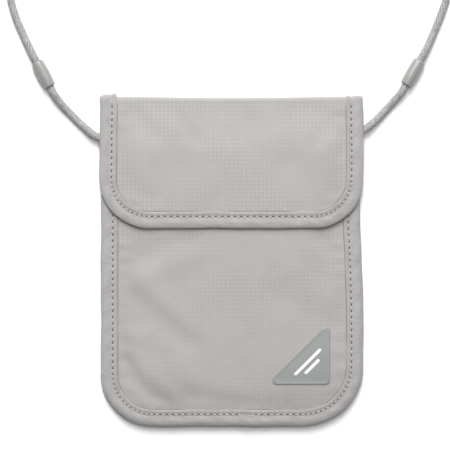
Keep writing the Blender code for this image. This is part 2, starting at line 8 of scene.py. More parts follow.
import bpy
import numpy as np
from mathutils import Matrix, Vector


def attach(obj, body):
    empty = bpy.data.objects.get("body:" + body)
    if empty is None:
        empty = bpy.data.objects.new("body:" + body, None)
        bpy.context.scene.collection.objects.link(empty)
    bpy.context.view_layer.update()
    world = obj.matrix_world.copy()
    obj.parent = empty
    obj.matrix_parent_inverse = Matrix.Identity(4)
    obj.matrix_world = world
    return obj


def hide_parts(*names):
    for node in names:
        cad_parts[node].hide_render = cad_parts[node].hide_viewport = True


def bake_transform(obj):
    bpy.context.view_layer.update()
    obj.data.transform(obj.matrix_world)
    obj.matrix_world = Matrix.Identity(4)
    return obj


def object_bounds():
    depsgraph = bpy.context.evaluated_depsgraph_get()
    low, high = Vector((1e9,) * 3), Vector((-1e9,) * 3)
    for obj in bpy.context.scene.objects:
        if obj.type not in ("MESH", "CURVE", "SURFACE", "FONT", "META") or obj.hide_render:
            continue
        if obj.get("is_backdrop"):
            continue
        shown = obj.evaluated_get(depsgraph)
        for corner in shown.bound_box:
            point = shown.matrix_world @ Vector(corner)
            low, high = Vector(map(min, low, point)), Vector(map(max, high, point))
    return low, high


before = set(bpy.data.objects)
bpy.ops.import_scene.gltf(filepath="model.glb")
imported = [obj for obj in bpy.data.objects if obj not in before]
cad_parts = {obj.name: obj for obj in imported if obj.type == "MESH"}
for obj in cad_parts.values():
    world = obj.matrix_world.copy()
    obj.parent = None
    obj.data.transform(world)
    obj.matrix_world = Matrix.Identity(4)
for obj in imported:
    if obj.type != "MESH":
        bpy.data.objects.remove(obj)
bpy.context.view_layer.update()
MM = 0.001
TURN = 2 * np.pi
rng = np.random.default_rng(7)
scene = bpy.context.scene

# %% [markdown]
# ## Camera, floor and light
# The pouch lies on a white table and is seen from straight above, so the camera looks down -Z with
# +Y at the top of the picture. A long lens from 1.5 m keeps the sides from leaning. A large soft
# lamp beyond the top edge gives the gentle fall of light from flap to hem.

# %% Camera
VIEW_CENTRE = (-3.6, 19.5)
VIEW_WIDTH = 241.4
CAMERA_HEIGHT = 1500.0
SENSOR = 36.0
camera_data = bpy.data.cameras.new("camera")
camera_data.sensor_width = SENSOR
camera_data.lens = SENSOR * CAMERA_HEIGHT / VIEW_WIDTH
camera = bpy.data.objects.new("camera", camera_data)
camera.location = np.array([*VIEW_CENTRE, CAMERA_HEIGHT]) * MM
scene.collection.objects.link(camera)
scene.camera = camera
print("lens", round(camera_data.lens, 1), "mm")


# %% Lamps and sky
def add_lamp(name, place, width, height, power):
    """A soft lamp at place, turned towards the pouch, all in metres."""
    data = bpy.data.lights.new(name, "AREA")
    data.shape = "RECTANGLE"
    data.size = width
    data.size_y = height
    data.energy = power
    lamp = bpy.data.objects.new(name, data)
    lamp.location = place
    lamp.rotation_euler = lamp.location.to_track_quat("Z", "Y").to_euler()
    scene.collection.objects.link(lamp)


add_lamp("key_lamp", (-0.1, 1.5, 1.45), 0.7, 1.7, 66.0)
add_lamp("fill_lamp", (0.1, 0.3, 1.6), 0.5, 0.5, 9.0)
world = bpy.data.worlds.new("white_room")
world.use_nodes = True
SKY_LIGHT = 0.18
sky = world.node_tree.nodes["Background"].inputs
sky["Color"].default_value = (1.0, 1.0, 1.0, 1.0)
sky["Strength"].default_value = SKY_LIGHT
scene.world = world
scene.view_settings.view_transform = "Standard"

# %% [markdown]
# ## Helpers for meshes
# Every new piece is a grid of points worked out with numpy. Most pieces are slabs: an outer
# surface, an inner surface one thickness away, and a rim that joins them, so each piece is closed
# and its faces point outwards without any modifier.


# %% Make a mesh
def grid_faces(rows, columns, wrap=False):
    """Quads between neighbours of a grid of points; wrap joins the last column to the first."""
    i, j = np.meshgrid(np.arange(rows - 1), np.arange(columns if wrap else columns - 1), indexing="ij")
    k = (j + 1) % columns
    corners = [i * columns + j, i * columns + k, (i + 1) * columns + k, (i + 1) * columns + j]
    return np.stack(corners, -1).reshape(-1, 4)


def add_mesh(name, points, faces, uv=None, values=None, rounded=True):
    """A mesh object from points in millimetres; uv and values are one row for each point. A closed
    shape whose signed volume is below zero is inside out, so its faces are turned round."""
    first, middle, last, fourth = (points[[f[k] for f in faces]] for k in (0, 1, 2, -1))
    volume = (first * (np.cross(middle, last) + np.cross(last, fourth))).sum()
    faces = [tuple(map(int, f)) for f in faces]
    if volume < 0:
        faces = [f[::-1] for f in faces]
    mesh = bpy.data.meshes.new(name)
    mesh.from_pydata((points * MM).tolist(), [], faces)
    corner = np.empty(len(mesh.loops), dtype=int)
    mesh.loops.foreach_get("vertex_index", corner)
    if uv is not None:
        mesh.uv_layers.new(name="cloth").data.foreach_set("uv", uv[corner].astype(np.float32).ravel())
    if values is not None:
        mesh.attributes.new("relief", "FLOAT", "POINT").data.foreach_set("value", values.astype(np.float32))
    mesh.polygons.foreach_set("use_smooth", np.broadcast_to(rounded, len(mesh.polygons)).tolist())
    piece = bpy.data.objects.new(name, mesh)
    scene.collection.objects.link(piece)
    return piece


def slab(name, outer, inner, uv, values=None):
    """A closed sheet: the outer grid, the inner grid behind it, and a rim round both."""
    rows, columns = outer.shape[:2]
    loop = np.concatenate([outer, inner[:, ::-1]], axis=1)
    loop_uv = np.concatenate([uv, uv[:, ::-1]], axis=1)
    faces = grid_faces(rows, 2 * columns, wrap=True)
    j = np.arange(columns - 1)
    start = np.stack([j, j + 1, 2 * columns - 2 - j, 2 * columns - 1 - j], -1)
    end = start[:, ::-1] + (rows - 1) * 2 * columns
    if values is not None:
        values = np.concatenate([values, values[:, ::-1]], axis=1).ravel()
    everything = np.concatenate([start[:, ::-1], faces[:, ::-1], end[:, ::-1]])
    rounded = np.arange(len(everything))
    rounded = (rounded >= len(start)) & (rounded < len(start) + len(faces))
    return add_mesh(name, loop.reshape(-1, 3), everything, loop_uv.reshape(-1, 2), values, rounded)


def dress(piece, material, body=None, nodes=()):
    """Gives a piece its material, the body it rides on, and the CAD nodes it replaces."""
    piece.data.materials.append(material)
    if body:
        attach(piece, body)
    if nodes:
        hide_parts(*nodes)
    return piece


print("mesh helpers ready")


# %% Tubes and repeated shapes
def unit(vectors):
    """The same vectors, each one long."""
    return vectors / np.linalg.norm(vectors, axis=-1, keepdims=True)


def rings_round(path, side, up, radius, around):
    """Rings of points round a path: P + r (side cos(a) + up sin(a)), a from 0 to a whole turn. The
    radius is one number, or one for each ring, or one for each ring and each point round it."""
    angle = (np.arange(around) * TURN / around)[:, None]
    radius = np.broadcast_to(radius, (len(path), around))[..., None]
    return path[:, None] + radius * (np.cos(angle) * side[:, None] + np.sin(angle) * up[:, None])


def closed_rings(rings, start, end):
    """Points and faces of a tube through rings of points, closed by a pole at start and at end."""
    steps, around = rings.shape[:2]
    count = steps * around
    k = np.arange(around)
    n = (k + 1) % around
    first = np.stack([np.full(around, count), n, k], -1)
    last = np.stack([np.full(around, count + 1), count - around + k, count - around + n], -1)
    return np.vstack([rings.reshape(-1, 3), start, end]), [*grid_faces(steps, around, True), *first, *last]


def tube(name, path, radius, around, uv=None, values=None):
    """A closed tube along a path, each ring spanned by the way left in the table's plane and the
    way up across that and the path, with its poles 0.2 mm past the last rings."""
    ahead = unit(np.gradient(path, axis=0))
    left = unit(np.cross([0.0, 0.0, 1.0], ahead))
    rings = rings_round(path, left, np.cross(ahead, left), radius, around)
    points, faces = closed_rings(rings, path[0] - 0.2 * ahead[0], path[-1] + 0.2 * ahead[-1])
    if uv is not None:
        uv = np.vstack([uv.reshape(-1, 2), uv.reshape(-1, 2)[[0, -1]]])
    if values is not None:
        values = np.append(values.ravel(), [0.0, 0.0])
    return add_mesh(name, points, faces, uv, values)


def turned(profile, around):
    """Points and faces of a shape turned about X: profile rows are (x, radius), with a pole at each
    end where the radius is nought."""
    path = np.pad(profile[:, :1], ((0, 0), (0, 2)))
    y, z = np.eye(3)[1:, None]
    return closed_rings(rings_round(path[1:-1], y, z, profile[1:-1, 1:], around), path[0], path[-1])


def repeated(name, shape, places, axes):
    """One mesh of many copies: copy n has its own X, Y and Z along axes[n] and stands at places[n]."""
    points, faces = shape
    size = len(points)
    points = np.einsum("pk,nkc->npc", points, axes) + places[:, None]
    faces = [np.asarray(f) + n * size for n in range(len(places)) for f in faces]
    return add_mesh(name, points.reshape(-1, 3), faces, np.zeros((len(places) * size, 2)))


def smooth(t):
    """0 below 0, 1 above 1, and 3tt - 2ttt between."""
    t = np.clip(t, 0, 1)
    return t * t * (3 - 2 * t)


def bell(d, centre, spread):
    """A bell curve, 1 at its centre: exp(-((d - centre) / spread) ** 2)."""
    return np.exp(-(((d - centre) / spread) ** 2))


print("tubes and repeated shapes ready")

# %% [markdown]
# ## Helpers for materials
# Colours are written as sRGB hex, as a paint chart gives them, and turned to the linear light that
# Blender works in. Cloth pieces carry a UV map in millimetres along and across the cloth, so a
# weave keeps its real thread spacing and follows the cloth over a fold.


# %% Colour and nodes
def paint(code):
    """Linear red, green, blue and 1 from an sRGB hex code: each channel c becomes
    ((c + 0.055) / 1.055) ** 2.4, or c / 12.92 where it is very dark."""
    c = np.array([int(code[k : k + 2], 16) for k in (1, 3, 5)]) / 255
    return (*np.where(c <= 0.04045, c / 12.92, ((c + 0.055) / 1.055) ** 2.4), 1.0)


def add(tree, kind, inputs=(), out=0, **settings):
    """Adds one shader node and gives one of its outputs. settings are its own properties; inputs
    are its sockets, in order or by name or number, each given a value or an output to link from."""
    node = tree.nodes.new("ShaderNode" + kind)
    for key, value in settings.items():
        setattr(node, key, value)
    for key, value in (inputs if isinstance(inputs, dict) else dict(enumerate(inputs))).items():
        if isinstance(value, bpy.types.NodeSocket):
            tree.links.new(value, node.inputs[key])
        else:
            node.inputs[key].default_value = value
    return node.outputs[out]


def finish_of(name, **sockets):
    """A new material with its shader's sockets set by name; underscores stand for spaces."""
    material = bpy.data.materials.new(name)
    material.use_nodes = True
    shader = material.node_tree.nodes["Principled BSDF"]
    for key, value in sockets.items():
        shader.inputs[key.replace("_", " ")].default_value = value
    return material, material.node_tree, shader


def face(tree, shader, share, low, high, height=None, distance=MM):
    """What every finish ends in: a colour that runs from low to high as share grows, and a surface
    that leans with the slope of a height."""
    colour = add(tree, "Mix", {0: share, 6: low, 7: high}, 2, data_type="RGBA")
    tree.links.new(colour, shader.inputs["Base Color"])
    if height is not None:
        bump = add(tree, "Bump", {"Height": height, "Distance": distance})
        tree.links.new(bump, shader.inputs["Normal"])


print("material helpers ready")

# %% [markdown]
# ## Ripstop nylon
# The shell is a plain-woven nylon with a thicker thread every 2.2 mm both ways, which stops a tear
# and draws a faint square grid. It is woven from fine shiny yarn, so it has a soft sheen. The grid
# is drawn from the distance to the nearest thick thread, and the yarn itself, about 0.3 mm, only
# moves the surface's slope.

# %% Ripstop nylon
RIPSTOP_PITCH = 2.2
YARN_PITCH = 0.44


def woven(name, ground, thread, shade, roughness, pitch, grid_depth, grid_share, sheen=0.25):
    """A woven cloth with a ripstop grid: lines where u or v is near a multiple of the pitch, their
    crossings brighter, and clouds of slightly darker ground."""
    material, tree, shader = finish_of(
        name, Roughness=roughness, Sheen_Weight=sheen, Sheen_Roughness=0.45, IOR=1.53
    )
    uv = add(tree, "UVMap", uv_map="cloth")
    apart = add(tree, "SeparateXYZ", [uv]).node.outputs
    fade = add(tree, "TexNoise", {"Vector": uv, "Scale": 0.03, "Detail": 2.0})
    patch = add(tree, "MapRange", {0: fade, 1: 0.38, 2: 0.62, 3: 0.25, 4: 1.0})
    lines = []
    yarns = []
    for place in apart[:2]:
        away = add(tree, "Math", [place, pitch / 2], operation="PINGPONG")
        lines.append(add(tree, "MapRange", {0: away, 1: 0.55, 2: 0.12}, interpolation_type="SMOOTHSTEP"))
        turn = add(tree, "Math", [place, TURN / YARN_PITCH], operation="MULTIPLY")
        yarns.append(add(tree, "Math", [turn], operation="SINE"))
    either = add(tree, "Math", lines, operation="MAXIMUM")
    both = add(tree, "Math", lines, operation="MULTIPLY")
    crossing = add(tree, "Math", [both, 0.55], operation="MULTIPLY")
    grid = add(tree, "Math", [either, 0.45, crossing], operation="MULTIPLY_ADD")
    grid = add(tree, "Math", [grid, patch], operation="MULTIPLY")
    uneven = add(tree, "TexNoise", {"Vector": uv, "Scale": 0.35, "Detail": 3.0})
    uneven = add(tree, "Math", [uneven, 2 * grid_share], operation="MULTIPLY")
    shown = add(tree, "Math", [grid, uneven], operation="MULTIPLY")
    clouds = add(tree, "TexNoise", {"Vector": uv, "Scale": 0.035, "Detail": 4.0})
    clouds = add(tree, "MapRange", {0: clouds, 1: 0.35, 2: 0.7, 3: 0.0, 4: 0.8})
    base = add(tree, "Mix", {0: clouds, 6: paint(ground), 7: paint(shade)}, 2, data_type="RGBA")
    weave = add(tree, "Math", [*yarns], operation="MULTIPLY")
    ridge = add(tree, "Math", [grid, grid_depth], operation="MULTIPLY")
    height = add(tree, "Math", [weave, 0.045, ridge], operation="MULTIPLY_ADD")
    face(tree, shader, shown, base, paint(thread), height)
    return material


shell_cloth = woven("ripstop_nylon", "#A09E9C", "#B4B3B1", "#989694", 0.6, RIPSTOP_PITCH, 0.04, 0.5)
body_cloth = woven("ripstop_nylon_warm", "#A09D9B", "#B1AFAD", "#999593", 0.6, RIPSTOP_PITCH, 0.04, 0.4)
lining_cloth = woven("lining_taffeta", "#82817F", "#8C8B89", "#797876", 0.7, 1.1, 0.03, 0.3, 0.1)
print("cloths", shell_cloth.name, lining_cloth.name)

# %% [markdown]
# ## Bound tape, thread and foil
# The binding is a woven polyester tape folded over the raw edges: fine cross ribs and a slightly
# smoother, lighter face than the shell. The thread is bonded polyester. The blocking layer between
# shell and lining is aluminium foil on paper, crinkled and mirror-like, and is sealed out of sight.


# %% Tape, thread, foil
def ribbed(name, ground, shade, rib, depth, roughness):
    """A tape whose ribs run across it: a sine of the distance along, broken up by noise."""
    material, tree, shader = finish_of(name, Roughness=roughness, Sheen_Weight=0.2, Sheen_Roughness=0.4)
    uv = add(tree, "UVMap", uv_map="cloth")
    along, across = add(tree, "SeparateXYZ", [uv]).node.outputs[:2]
    slant = add(tree, "Math", [across, 0.6, along], operation="MULTIPLY_ADD")
    turns = [add(tree, "Math", [way, TURN / rib], operation="MULTIPLY") for way in (slant, across)]
    ribs, wefts = [add(tree, "Math", [turn], operation="SINE") for turn in turns]
    fuzz = add(tree, "TexNoise", {"Vector": uv, "Scale": 0.9, "Detail": 4.0})
    fuzz = add(tree, "Math", [fuzz, 0.22], operation="MULTIPLY")
    wear = add(tree, "TexNoise", {"Vector": uv, "Scale": 0.12, "Detail": 3.0})
    share = add(tree, "MapRange", {0: wear, 1: 0.35, 2: 0.7})
    weave = add(tree, "Math", [wefts, 0.5, ribs], operation="MULTIPLY_ADD")
    height = add(tree, "Math", [weave, depth, fuzz], operation="MULTIPLY_ADD")
    face(tree, shader, share, paint(ground), paint(shade), height)
    return material


def speckled(name, low, high, scale, detail=2.0, **sockets):
    """A finish whose colour wanders between two tones; a higher scale gives finer specks."""
    material, tree, shader = finish_of(name, **sockets)
    place = add(tree, "TexCoord", out="Object")
    speck = add(tree, "TexNoise", {"Vector": place, "Scale": scale, "Detail": detail})
    face(tree, shader, speck, paint(low), paint(high))
    return material


binding_tape = ribbed("polyester_binding", "#9E9C9B", "#969392", 0.7, 0.05, 0.58)
zip_cloth = ribbed("zip_tape_weave", "#8E8D8B", "#858482", 0.8, 0.06, 0.75)
strip_cloth = ribbed("hook_and_loop_base", "#8A8987", "#807F7D", 0.9, 0.05, 0.8)
thread = speckled("bonded_thread", "#9A9997", "#B4B3B1", 2200.0, Roughness=0.45, Sheen_Weight=0.3)
# Painted shade: the near-black colour of the shade inside each needle hole.
painted_hole_shade = speckled("needle_hole_shadow", "#2C2B2A", "#4A4948", 1500.0, Roughness=0.95)
# Painted shadow: a dark grey for the thin line of shade under the binding tape's lip.
painted_lip_shadow = speckled("tape_lip_painted_shadow", "#5A5856", "#8A8785", 90.0, 3.0, Roughness=0.9)
foil, tree, shader = finish_of("blocking_foil", Metallic=1.0, Roughness=0.28)
place = add(tree, "TexCoord", out="Object")
crinkle = add(tree, "TexVoronoi", {"Vector": place, "Scale": 260.0}, feature="DISTANCE_TO_EDGE")
# Painted shade: the foil is a little darker along the edges of its crinkles, in the creases.
face(tree, shader, crinkle, paint("#C9CACC"), paint("#DDDEE0"), crinkle, 0.3 * MM)
print("tape, thread and foil ready")

# %% [markdown]
# ## Braid, moulded plastic, rubber and metal
# The neck cord is a round polyester braid: every strand shows as a light lozenge, and the gaps
# between strands are dark, painted light on the strands and painted shade in the gaps. Its relief is
# worked out with the mesh and kept as an attribute, so colour and shape agree. The beads are moulded
# ABS with a satin face. The badge is soft rubber, moulded matt. The zip's slider is a painted die casting.

# %% Braid, plastics and metal
braid, tree, shader = finish_of("polyester_braid", Roughness=0.6, Sheen_Weight=0.35, Sheen_Roughness=0.4)
# The colour follows the strands' relief: painted light on each strand's crown and painted shade in the gaps
# between strands, with a random mottle of real flecks over it.
relief = add(tree, "Attribute", out="Fac", attribute_name="relief")
uv = add(tree, "UVMap", uv_map="cloth")
mottle = add(tree, "TexNoise", {"Vector": uv, "Scale": 0.5, "Detail": 3.0})
mottle = add(tree, "Math", [mottle, 0.5], operation="SUBTRACT")
level = add(tree, "Math", [mottle, 0.9, relief], operation="MULTIPLY_ADD")
share = add(tree, "MapRange", {0: level, 1: 0.05, 2: 0.75})
across = add(tree, "SeparateXYZ", [uv], 1)
strands = add(tree, "Math", [across, TURN / 0.35], operation="MULTIPLY")
strands = add(tree, "Math", [strands], operation="SINE")
strands = add(tree, "Math", [strands, 0.03], operation="MULTIPLY")
face(tree, shader, share, paint("#4E4C4A"), paint("#A5A3A1"), strands)


def moulded(name, ground, shade, roughness, grain, depth, coat=0.0):
    """A moulded or cast surface: clouds of two near colours, and a fine grain in its slope."""
    material, tree, shader = finish_of(name, Roughness=roughness, Coat_Weight=coat)
    place = add(tree, "TexCoord", out="Object")
    cloud = add(tree, "TexNoise", {"Vector": place, "Scale": 180.0, "Detail": 4.0})
    fine = add(tree, "TexNoise", {"Vector": place, "Scale": grain, "Detail": 3.0})
    face(tree, shader, cloud, paint(ground), paint(shade), fine, depth * MM)
    worn = add(tree, "MapRange", {0: cloud, 1: 0.3, 2: 0.7, 3: roughness - 0.06, 4: roughness + 0.08})
    tree.links.new(worn, shader.inputs["Roughness"])
    return material


bead_plastic = moulded("bead_abs", "#939290", "#898886", 0.38, 900.0, 0.03, coat=0.2)
badge_rubber = moulded("badge_rubber", "#878A88", "#818482", 0.55, 2500.0, 0.05)
badge_inlay = moulded("badge_inlay_print", "#E2E2E0", "#D8D8D6", 0.5, 2500.0, 0.03)
zip_metal = moulded("zip_painted_zinc", "#6E6D6C", "#626160", 0.45, 1200.0, 0.02, coat=0.1)
zip_plastic = moulded("zip_nylon_coil", "#8B8A88", "#7F7E7C", 0.42, 1500.0, 0.02)
print("braid, plastics and metal ready")

# %% [markdown]
# ## The neck cord
# One 4 mm braided cord leaves the left side seam, runs through a bead, round to a stored coil, and
# back through the other bead to the right side seam. Its route is a list of given points,
# joined by a Catmull-Rom curve. The coil is four turns of a spiral: two run inwards on the table,
# two run outwards on top of them, so the turns lie one diameter apart and never cross.

# %% The cord's route
LEFT_ROUTE = np.array([
    (-71.5, 66.5, 4.0), (-74.8, 68.4, 3.7), (-78.3, 71.5, 2.9), (-82.0, 74.7, 2.3), (-86.9, 79.7, 2.2),
    (-91.6, 84.8, 2.9), (-95.04, 89.62, 3.75), (-97.16, 93.59, 3.8), (-100.7, 100.2, 3.8),
    (-104.24, 106.81, 3.8), (-106.36, 110.78, 3.75), (-108.9, 115.8, 3.0), (-111.9, 122.2, 2.2),
    (-115.6, 131.0, 2.1), (-118.4, 141.0, 2.1), (-119.0, 152.0, 2.1), (-115.5, 165.0, 2.1),
    (-107.0, 179.0, 2.1), (-94.0, 192.0, 2.1), (-77.0, 203.5, 2.1), (-57.0, 213.5, 2.1),
    (-37.0, 219.4, 2.2), (-15.5, 221.0, 2.9),
])
RIGHT_ROUTE = np.array([
    (71.7, 70.9, 4.0), (74.0, 72.8, 3.7), (77.2, 75.6, 2.9), (80.8, 79.3, 2.3), (84.4, 83.2, 2.2),
    (88.0, 87.2, 2.9), (90.8, 90.51, 3.75), (93.05, 94.4, 3.8), (96.8, 100.9, 3.8),
    (100.55, 107.4, 3.8), (102.8, 111.29, 3.75), (105.3, 116.2, 3.0), (108.0, 122.2, 2.2),
    (111.6, 131.0, 2.1), (114.9, 141.0, 2.1), (116.2, 152.0, 2.1), (113.5, 165.0, 2.1),
    (105.7, 179.0, 2.1), (93.0, 192.0, 2.2), (76.4, 203.5, 3.0), (56.8, 213.3, 4.6),
    (37.0, 219.2, 6.2), (15.5, 221.0, 6.9),
])
SEAM_TAIL = np.array([4.6, 2.4, 0.0])
COIL_CENTRE = (0.0, 195.0)
COIL_RADII = (18.0, 26.0)
COIL_HEIGHTS = (2.1, 6.2)
COIL_TURNS = 4
TIE_LIFT = 0.8


def smooth_route(knots, fine=12):
    """Catmull-Rom: between two knots a cubic whose slope at each is half the step between the
    knots on either side."""
    ghosts = np.vstack([2 * knots[0] - knots[1], knots, 2 * knots[-1] - knots[-2]])
    a, b, c, d = (ghosts[k : len(ghosts) - 3 + k, None] for k in range(4))
    t = np.linspace(0, 1, fine, endpoint=False)[None, :, None]
    cubic = 2 * b + (c - a) * t + (2 * a - 5 * b + 4 * c - d) * t**2 + (3 * b - a - 3 * c + d) * t**3
    return np.vstack([cubic.reshape(-1, 3) / 2, knots[-1]])


def coil_of_cord():
    """Four turns clockwise from the top: the radius falls by 4 mm a turn for two turns, then grows
    again one layer up, and the whole coil rises a little where the tie passes under it."""
    turn = np.linspace(0, COIL_TURNS, COIL_TURNS * 96 + 1)
    inner, outer = COIL_RADII
    radius = inner + (outer - inner) * np.abs(turn / 2 - 1)
    angle = TURN * turn
    over = smooth((turn - 1.87) / 0.18)
    at_tie = bell(turn % 1, 0.5, 0.09)
    at_leads = 1 - smooth(np.minimum(turn, COIL_TURNS - turn) / 0.14)
    z = COIL_HEIGHTS[0] + (COIL_HEIGHTS[1] - COIL_HEIGHTS[0]) * over + TIE_LIFT * np.maximum(at_tie, at_leads)
    x = COIL_CENTRE[0] + radius * np.sin(angle)
    y = COIL_CENTRE[1] + radius * np.cos(angle)
    return np.stack([x, y, z], -1)


def evenly(path, step):
    """The path walked again in equal steps of its own length."""
    walked = np.append(0, np.cumsum(np.linalg.norm(np.diff(path, axis=0), axis=1)))
    places = np.linspace(0, walked[-1], int(round(walked[-1] / step)) + 1)
    return np.stack([np.interp(places, walked, path[:, k]) for k in range(path.shape[1])], -1), places


left_knots = np.vstack([LEFT_ROUTE[0] + SEAM_TAIL * (1, -1, 0), LEFT_ROUTE])
right_knots = np.vstack([RIGHT_ROUTE[0] + SEAM_TAIL * (-1, -1, 0), RIGHT_ROUTE])
whole = np.vstack([smooth_route(left_knots), coil_of_cord(), smooth_route(right_knots)[::-1]])
cord_path, cord_walk = evenly(whole, 0.5)

# %% The braided cord
LOZENGES_ROUND = 8
LOZENGE_LENGTH = 3.2


def braided(path, walk, around=32):
    """Ring n has radius 1.82 + 0.30 sqrt(|cos(pi L) cos(pi M)|), where L and M count lozenges along
    the two ways that the strands wind: round the cord, plus or minus the distance along it."""
    angle = np.arange(around) / around * LOZENGES_ROUND
    one_way = angle[None] + walk[:, None] / LOZENGE_LENGTH
    other_way = angle[None] - walk[:, None] / LOZENGE_LENGTH
    lozenge = np.sqrt(np.abs(np.cos(np.pi * one_way) * np.cos(np.pi * other_way)))
    uneven = 0.04 * np.sin(walk / 5.3)[:, None] + 0.03 * np.sin(walk / 2.1 + 1)[:, None]
    uv = np.stack(np.broadcast_arrays(walk[:, None], angle[None] * TURN * 2 / LOZENGES_ROUND), -1)
    return 1.82 + 0.30 * lozenge + uneven * 0.5, lozenge, uv


radius, lozenge, cord_uv = braided(cord_path, cord_walk)
neck_cord = tube("neck_cord", cord_path, radius, 32, cord_uv, lozenge)
dress(neck_cord, braid, "root", ["neck_cord_left", "neck_cord_right", "neck_cord_coil"])
print("neck cord", len(neck_cord.data.polygons), "faces")

# %% [markdown]
# ## The beads
# Each bead is a barrel 15 mm long with a bore that lets the cord slide. It could be a lathed
# profile, but the real one has soft lengthwise flats and a moulding ridge, so the radius also
# changes with the angle round it. Outside and bore are one closed ring of profile.

# %% Beads
BEAD_LENGTH = 15.0
BEADS = {
    "left_bead": (LEFT_ROUTE[8], (-0.472, 0.882, 0.0), 1.9, "bead_left"),
    "right_bead": (RIGHT_ROUTE[8], (0.5, 0.866, 0.0), 1.2, "bead_right"),
}
RIM_RADIUS = 2.45
BORE = np.array([(7.35, 2.42), (6.4, 2.24), (0.0, 2.22), (-6.4, 2.24), (-7.35, 2.42)])


def bead_surface(middle, aim, ridge, around=64):
    """Along the barrel the radius is 3.1 + 0.55 (1 - t^2)^0.8, t from -1 to 1, rounded off at the
    rims; a ridge adds a bell curve of the angle, and three soft flats take a little off."""
    t = np.linspace(-1, 1, 33)
    barrel = 3.1 + 0.55 * (1 - t**2) ** 0.8
    rim = np.sin(np.linspace(0, np.pi / 2, 5))[:-1]
    edge = RIM_RADIUS + (barrel[0] - RIM_RADIUS) * rim
    past = 1 + 0.03 * (1 - rim)
    shoulder = np.concatenate([edge, barrel, edge[::-1]])
    along = np.concatenate([-past, t, past[::-1]]) * BEAD_LENGTH / 2 / 1.03
    along = np.concatenate([along, BORE[:, 0]])
    radius = np.concatenate([shoulder, BORE[:, 1]])[None]
    outside = np.concatenate([np.ones(len(shoulder)), np.zeros(len(BORE))])[None]
    angle = (np.arange(around) * TURN / around)[:, None]
    raised = bell(np.angle(np.exp(1j * (angle - ridge))), 0, 0.16)
    flats = 0.5 - 0.5 * np.cos(3 * (angle - ridge))
    fade = (1 - np.clip(np.abs(along) / 7.2, 0, 1) ** 4)[None]
    radius = radius + outside * fade * 0.16 * (raised - flats)
    aim = unit(np.array(aim))
    side = np.cross([0, 0, 1.0], aim)
    ring = np.cos(angle)[..., None] * side + np.sin(angle)[..., None] * [0, 0, 1.0]
    return middle + along[None, :, None] * aim + radius[..., None] * ring


beads = {}
for name, (middle, aim, ridge, body) in BEADS.items():
    surface = bead_surface(middle, aim, ridge)
    rows, columns = surface.shape[:2]
    faces = grid_faces(rows + 1, columns, wrap=True) % (rows * columns)
    beads[name] = add_mesh(f"{name}_barrel", surface.reshape(-1, 3), faces)
    dress(beads[name], bead_plastic, body, [name])
print("beads", list(beads))

# %% [markdown]
# ## The outlines
# Body and flap share one kind of outline: down the left side from the fold, round a corner, along
# the end, round the other corner and up the right side. Sewn cloth is never quite straight, so a
# few shallow swells move the sides. The distance inwards from that outline sets everything else:
# where tape ends, where stitches run, and how the filled middle rises.

# %% Outlines
HALF_WIDTH = 70.0
FOLD_Y = 85.75
FOLD_Z = 5.45
BODY = {
    "end": -88.2, "corners": (28.0, 32.0),
    "left": [(88, 3.5, 0.7)], "right": [(31, 26, -1.5), (-43, 30, 0.5)],
}
FLAP = {
    "end": 17.6, "corners": (26.0, 26.0),
    "left": [(41, 22, 0.6), (70, 16, 0.3), (88, 3.5, 0.7)], "right": [(56, 20, 0.5)],
}


def swell(y, bumps):
    """The sum of bell curves, each with a centre, a spread and a height."""
    total = np.zeros_like(y)
    for centre, spread, height in bumps:
        total = total + height * bell(y, centre, spread)
    return total


def sideways(x, y, shape):
    """How far the swells move the outline in X at a point."""
    share = smooth(np.abs(x) / 40)
    return share * np.where(x > 0, swell(y, shape["right"]), -swell(y, shape["left"]))


def inset(x, y, shape):
    """Distance inwards from the outline: that of a box with rounded corners, open at the fold."""
    x = x - sideways(x, y, shape)
    radius = np.where(x > 0, shape["corners"][1], shape["corners"][0])
    across = np.abs(x) - HALF_WIDTH + radius
    down = shape["end"] + radius - y
    beyond = np.hypot(np.maximum(across, 0), np.maximum(down, 0))
    return radius - beyond - np.minimum(np.maximum(across, down), 0)


def outline(shape, step=0.8):
    """An edge: points along the outline in equal steps, unit vectors inwards, and distance walked."""
    left, right = shape["corners"]
    end = shape["end"]
    turn = np.linspace(0, np.pi / 2, 60)
    low = np.stack([-HALF_WIDTH + left * (1 - np.cos(turn)), end + left * (1 - np.sin(turn))], -1)
    high = np.stack([HALF_WIDTH - right * (1 - np.sin(turn)), end + right * (1 - np.cos(turn))], -1)
    side = np.linspace(0, 1, 200, endpoint=False)[:, None]
    down = np.array([-HALF_WIDTH, FOLD_Y]) * (1 - side) + low[0] * side
    base = low[-1] * (1 - side[1:]) + high[0] * side[1:]
    up_line = high[-1] * (1 - side[1:]) + np.array([HALF_WIDTH, FOLD_Y]) * side[1:]
    line = np.vstack([down, low, base, high, up_line, [[HALF_WIDTH, FOLD_Y]]])
    line[:, 0] += sideways(line[:, 0], line[:, 1], shape)
    line, walked = evenly(line, step)
    ahead = unit(np.gradient(line, axis=0))
    return line, np.stack([-ahead[:, 1], ahead[:, 0]], -1), walked


body_edge = outline(BODY)
flap_edge = outline(FLAP)
print("edge of the body", round(body_edge[2][-1]), "mm, of the flap", round(flap_edge[2][-1]), "mm")

# %% [markdown]
# ## How the cloth lies
# Shell and lining are held by the tape at the edge and pushed apart by what is between them, so
# each layer rises steeply from the seam and flattens towards the middle. The creases are the soft
# diagonal pulls that a pouch gets from being carried: a shallow valley with a low ridge beside it.
# A cloth simulation could find such folds, but here their places are known, so they are placed.

